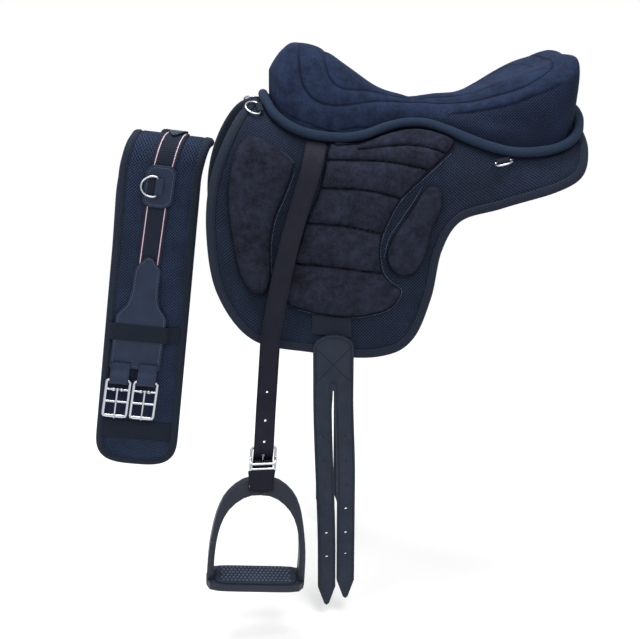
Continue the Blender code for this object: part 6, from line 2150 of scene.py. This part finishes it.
    def keeper_band(self, name: str, start: float, end: float, over: float) -> None:
        """An elastic band across the pad; where it covers a strap it rises over it."""
        rests = self.thickness + SEAT_GAP
        centre = GIRTH.strap_start + GIRTH.strap_drift * max(end, 0.0)
        drift = GIRTH.strap_drift * (end - start)
        edges = (centre - self.hump_half, centre - drift + self.hump_half)
        u, v = np.linspace(*self.keeper_ends, 61), np.linspace(start, end, 16)
        grid = lattice(u, v)
        away = np.maximum(np.maximum(edges[0] - u, u - edges[1]), 0.0)
        lift = max(over - self.thickness, 0.0) * (1 - ease(away, 0.0, 0.008))
        points = GIRTH.place(grid[..., 0], grid[..., 1], rests + lift + self.keeper / 2)
        edge = np.minimum(v - start, end - v)[:, None] + 0 * u
        publish(strap(name + "_dressed", points, grid, edge, self.keeper,
                      Cloths.elastic, bevel=0.0003), "girth")

    def buckle(self, side: Side, label: str, across: float, bar_v: float, mid: float) -> None:
        """Roller buckle: a frame of rounded bar, a knobbed bar, a plain bar and a roller."""
        way = side.value
        wide, tall, r = self.buckle_width / 2, self.buckle_height, self.bar / 2

        def at(u: Array, v: Array, t: Array) -> Array:
            """Places on the buckle, v down from the bar in the chape."""
            return GIRTH.strap(across + np.asarray(u, float), bar_v + way * np.asarray(v, float),
                               mid + np.asarray(t, float))

        up = at(0.0, 0.0, 1e-3) - at(0.0, 0.0, 0.0)
        edge, low = wide - r, tall - 2 * r
        loop = resample(rounded_box(edge, 0.0, low, 0.0035), 0.0016, True)
        shell = Shell()
        shell.sweep(at(loop[:, 0], loop[:, 1], 0.0), circle(1.12 * r, 18, 0.75), up, closed=True)
        u = np.linspace(-edge, edge, 61)
        knobs = 0.0019 + 0.0018 * (groove(u - 0.0062, 0.0027) + groove(u + 0.0062, 0.0027))
        shell.sweep(at(u, 0 * u + 0.0158, 0 * u), circle(1.0, 16), up, size=knobs)
        shell.sweep(at(u, 0 * u + 0.0367, 0 * u), circle(0.0021, 16), up)
        collar = np.where(np.abs(u) > edge - 0.0042, 0.0024, 0.0033)
        shell.sweep(at(u, 0 * u + low - 0.0004, 0 * u), circle(1.0, 20), up, size=collar)
        name = side.name_of("girth_buckle_" + label)
        publish(shell.build(name + "_dressed", [Cloths.steel], sharp=40), name)
        v = np.linspace(0.0120, tall - 0.0012, 44)
        size = 1.05 - 0.30 * (v - v[0]) / (v[-1] - v[0])
        size = size * np.minimum(quarter(v - v[0] + 1e-4, 0.0016), quarter(v[-1] - v, 0.0018))
        shell = Shell()
        shell.sweep(at(0 * v, v, r + 0.0024 + 0.0008 * ease(v, 0.052, 0.064)),
                    circle(0.0017, 12), up, size=size)
        name = side.name_of("girth_tongue_" + label)
        publish(shell.build(name + "_dressed", [Cloths.steel]), name)

    def build(self) -> None:
        """All of the girth."""
        self.pad()
        self.strips()
        for side in Side:
            self.leather_end(side)


# ---------------------------------------------------------------------------------------------
# Floor, light and camera


@dataclass(frozen=True)
class Studio:
    """White studio: a pale floor below the straps, soft lamps and the photograph's camera."""

    target: tuple[float, float, float] = (-0.125, 0.0, -0.325)
    azimuth: float = -5.0
    elevation: float = 18.0
    distance: float = 1.82
    lens: float = 62.04
    floor: float = -0.790
    lit: tuple[float, float, float] = (-0.12, 0.0, -0.2)

    @staticmethod
    def aimed(name: str, data: bpy.types.ID, place: Vector, toward: Vector) -> bpy.types.Object:
        """A camera or lamp at a place, that looks along a direction."""
        made = bpy.data.objects.new(name, data)
        made.location = place
        made.rotation_euler = toward.to_track_quat("-Z", "Y").to_euler()
        bpy.context.scene.collection.objects.link(made)
        return made

    def camera(self) -> None:
        """Camera at the photograph's angle."""
        a, e = math.radians(self.azimuth), math.radians(self.elevation)
        back = Vector((math.sin(a) * math.cos(e), -math.cos(a) * math.cos(e), math.sin(e)))
        data = bpy.data.cameras.new("camera")
        data.lens, data.sensor_width = self.lens, 36.0
        bpy.context.scene.camera = self.aimed("camera", data, Vector(self.target)
                                              + back * self.distance, -back)

    @staticmethod
    def seen_directly(tree: bpy.types.NodeTree) -> bpy.types.NodeSocket:
        """1 for what the camera sees, itself or in gloss or glass, and 0 for what lights."""
        rays = add_node(tree, "ShaderNodeLightPath")
        seen = add_node(tree, "ShaderNodeMath", {"operation": "MAXIMUM"},
                        {0: rays.outputs["Is Camera Ray"], 1: rays.outputs["Is Glossy Ray"]})
        return add_node(tree, "ShaderNodeMath", {"operation": "MAXIMUM"}, {
            0: seen.outputs[0], 1: rays.outputs["Is Transmission Ray"]}).outputs[0]

    def ground(self) -> None:
        """The floor: one quad of matt white, pale where the camera sees it lit."""
        size = 6.0
        mesh = bpy.data.meshes.new("studio_floor")
        mesh.from_pydata([(-size, -size, self.floor), (size, -size, self.floor),
                          (size, size, self.floor), (-size, size, self.floor)], [],
                         [(0, 1, 2, 3)])
        material = bpy.data.materials.new("studio_floor_matt_white")
        material.use_nodes = True
        shader = material.node_tree.nodes["Principled BSDF"]
        shader.inputs["Base Color"].default_value = (0.88, 0.88, 0.88, 1.0)
        shader.inputs["Roughness"].default_value = 1.0
        shader.inputs["Specular IOR Level"].default_value = 0.0
        shader.inputs["Emission Color"].default_value = (1.0, 1.0, 1.0, 1.0)
        tree = material.node_tree
        seen = self.seen_directly(tree)
        lift = add_node(tree, "ShaderNodeMath", {"operation": "MULTIPLY"}, {0: seen, 1: 0.22})
        tree.links.new(lift.outputs[0], shader.inputs["Emission Strength"])
        place = add_node(tree, "ShaderNodeTexCoord")
        away = add_node(tree, "ShaderNodeVectorMath", {"operation": "DISTANCE"},
                        {0: place.outputs["Object"], 1: (-0.1, 0.0, self.floor)})
        far = ramp(tree, add_node(tree, "ShaderNodeMath", {"operation": "DIVIDE"}, {
            0: away.outputs["Value"], 1: 2.4}).outputs[0], [(0.22, grey(0.0)), (0.75, grey(1.0))])
        share = add_node(tree, "ShaderNodeMath", {"operation": "MULTIPLY"}, {0: seen, 1: far})
        white = add_node(tree, "ShaderNodeEmission", inputs={"Color": (1, 1, 1, 1)})
        mixed = add_node(tree, "ShaderNodeMixShader", inputs={
            0: share.outputs[0], 1: shader.outputs[0], 2: white.outputs[0]})
        tree.links.new(mixed.outputs[0], tree.nodes["Material Output"].inputs["Surface"])
        mesh.materials.append(material)
        ground = bpy.data.objects.new("studio_floor", mesh)
        bpy.context.scene.collection.objects.link(ground)

    def light(self) -> None:
        """World and lamps at a plain level; camera and gloss see white."""
        world = bpy.data.worlds.new("studio_world")
        bpy.context.scene.world = world
        world.use_nodes = True
        tree = world.node_tree
        tree.nodes.clear()
        lit, white = (add_node(tree, "ShaderNodeBackground", inputs={
            "Color": (1, 1, 1, 1), "Strength": strength}).outputs[0] for strength in (0.44, 1.0))
        mixed = add_node(tree, "ShaderNodeMixShader", inputs={
            0: self.seen_directly(tree), 1: lit, 2: white})
        out = add_node(tree, "ShaderNodeOutputWorld", inputs={0: mixed.outputs[0]})
        out.is_active_output = True
        for name, place, size, power in (("key", (0.5, -1.9, 2.5), 1.8, 68.0),
                                         ("fill", (-1.9, -1.7, 1.2), 2.0, 20.0),
                                         ("top", (-0.7, 0.1, 2.7), 1.6, 84.0)):
            data = bpy.data.lights.new(name + "_lamp", "AREA")
            data.shape, data.size, data.energy = "DISK", size, power
            self.aimed(name + "_lamp", data, Vector(place), Vector(self.lit) - Vector(place))

    def build(self) -> None:
        """All of the studio."""
        self.camera()
        self.ground()
        self.light()
        bpy.context.scene.view_settings.view_transform = "Standard"


def main() -> None:
    """Build the studio and every piece."""
    logging.basicConfig(level=logging.INFO, format="%(name)s: %(message)s")
    Studio().build()
    PaddedBase().build()
    for cushion in flap_cushions():
        cushion.build()
    Seat().build()
    for side in Side:
        StirrupLeather(side).build()
        Stirrup(side).build()
        Billets(side).build()
    Dees().build()
    Girth().build()


if __name__ == "__main__":
    main()
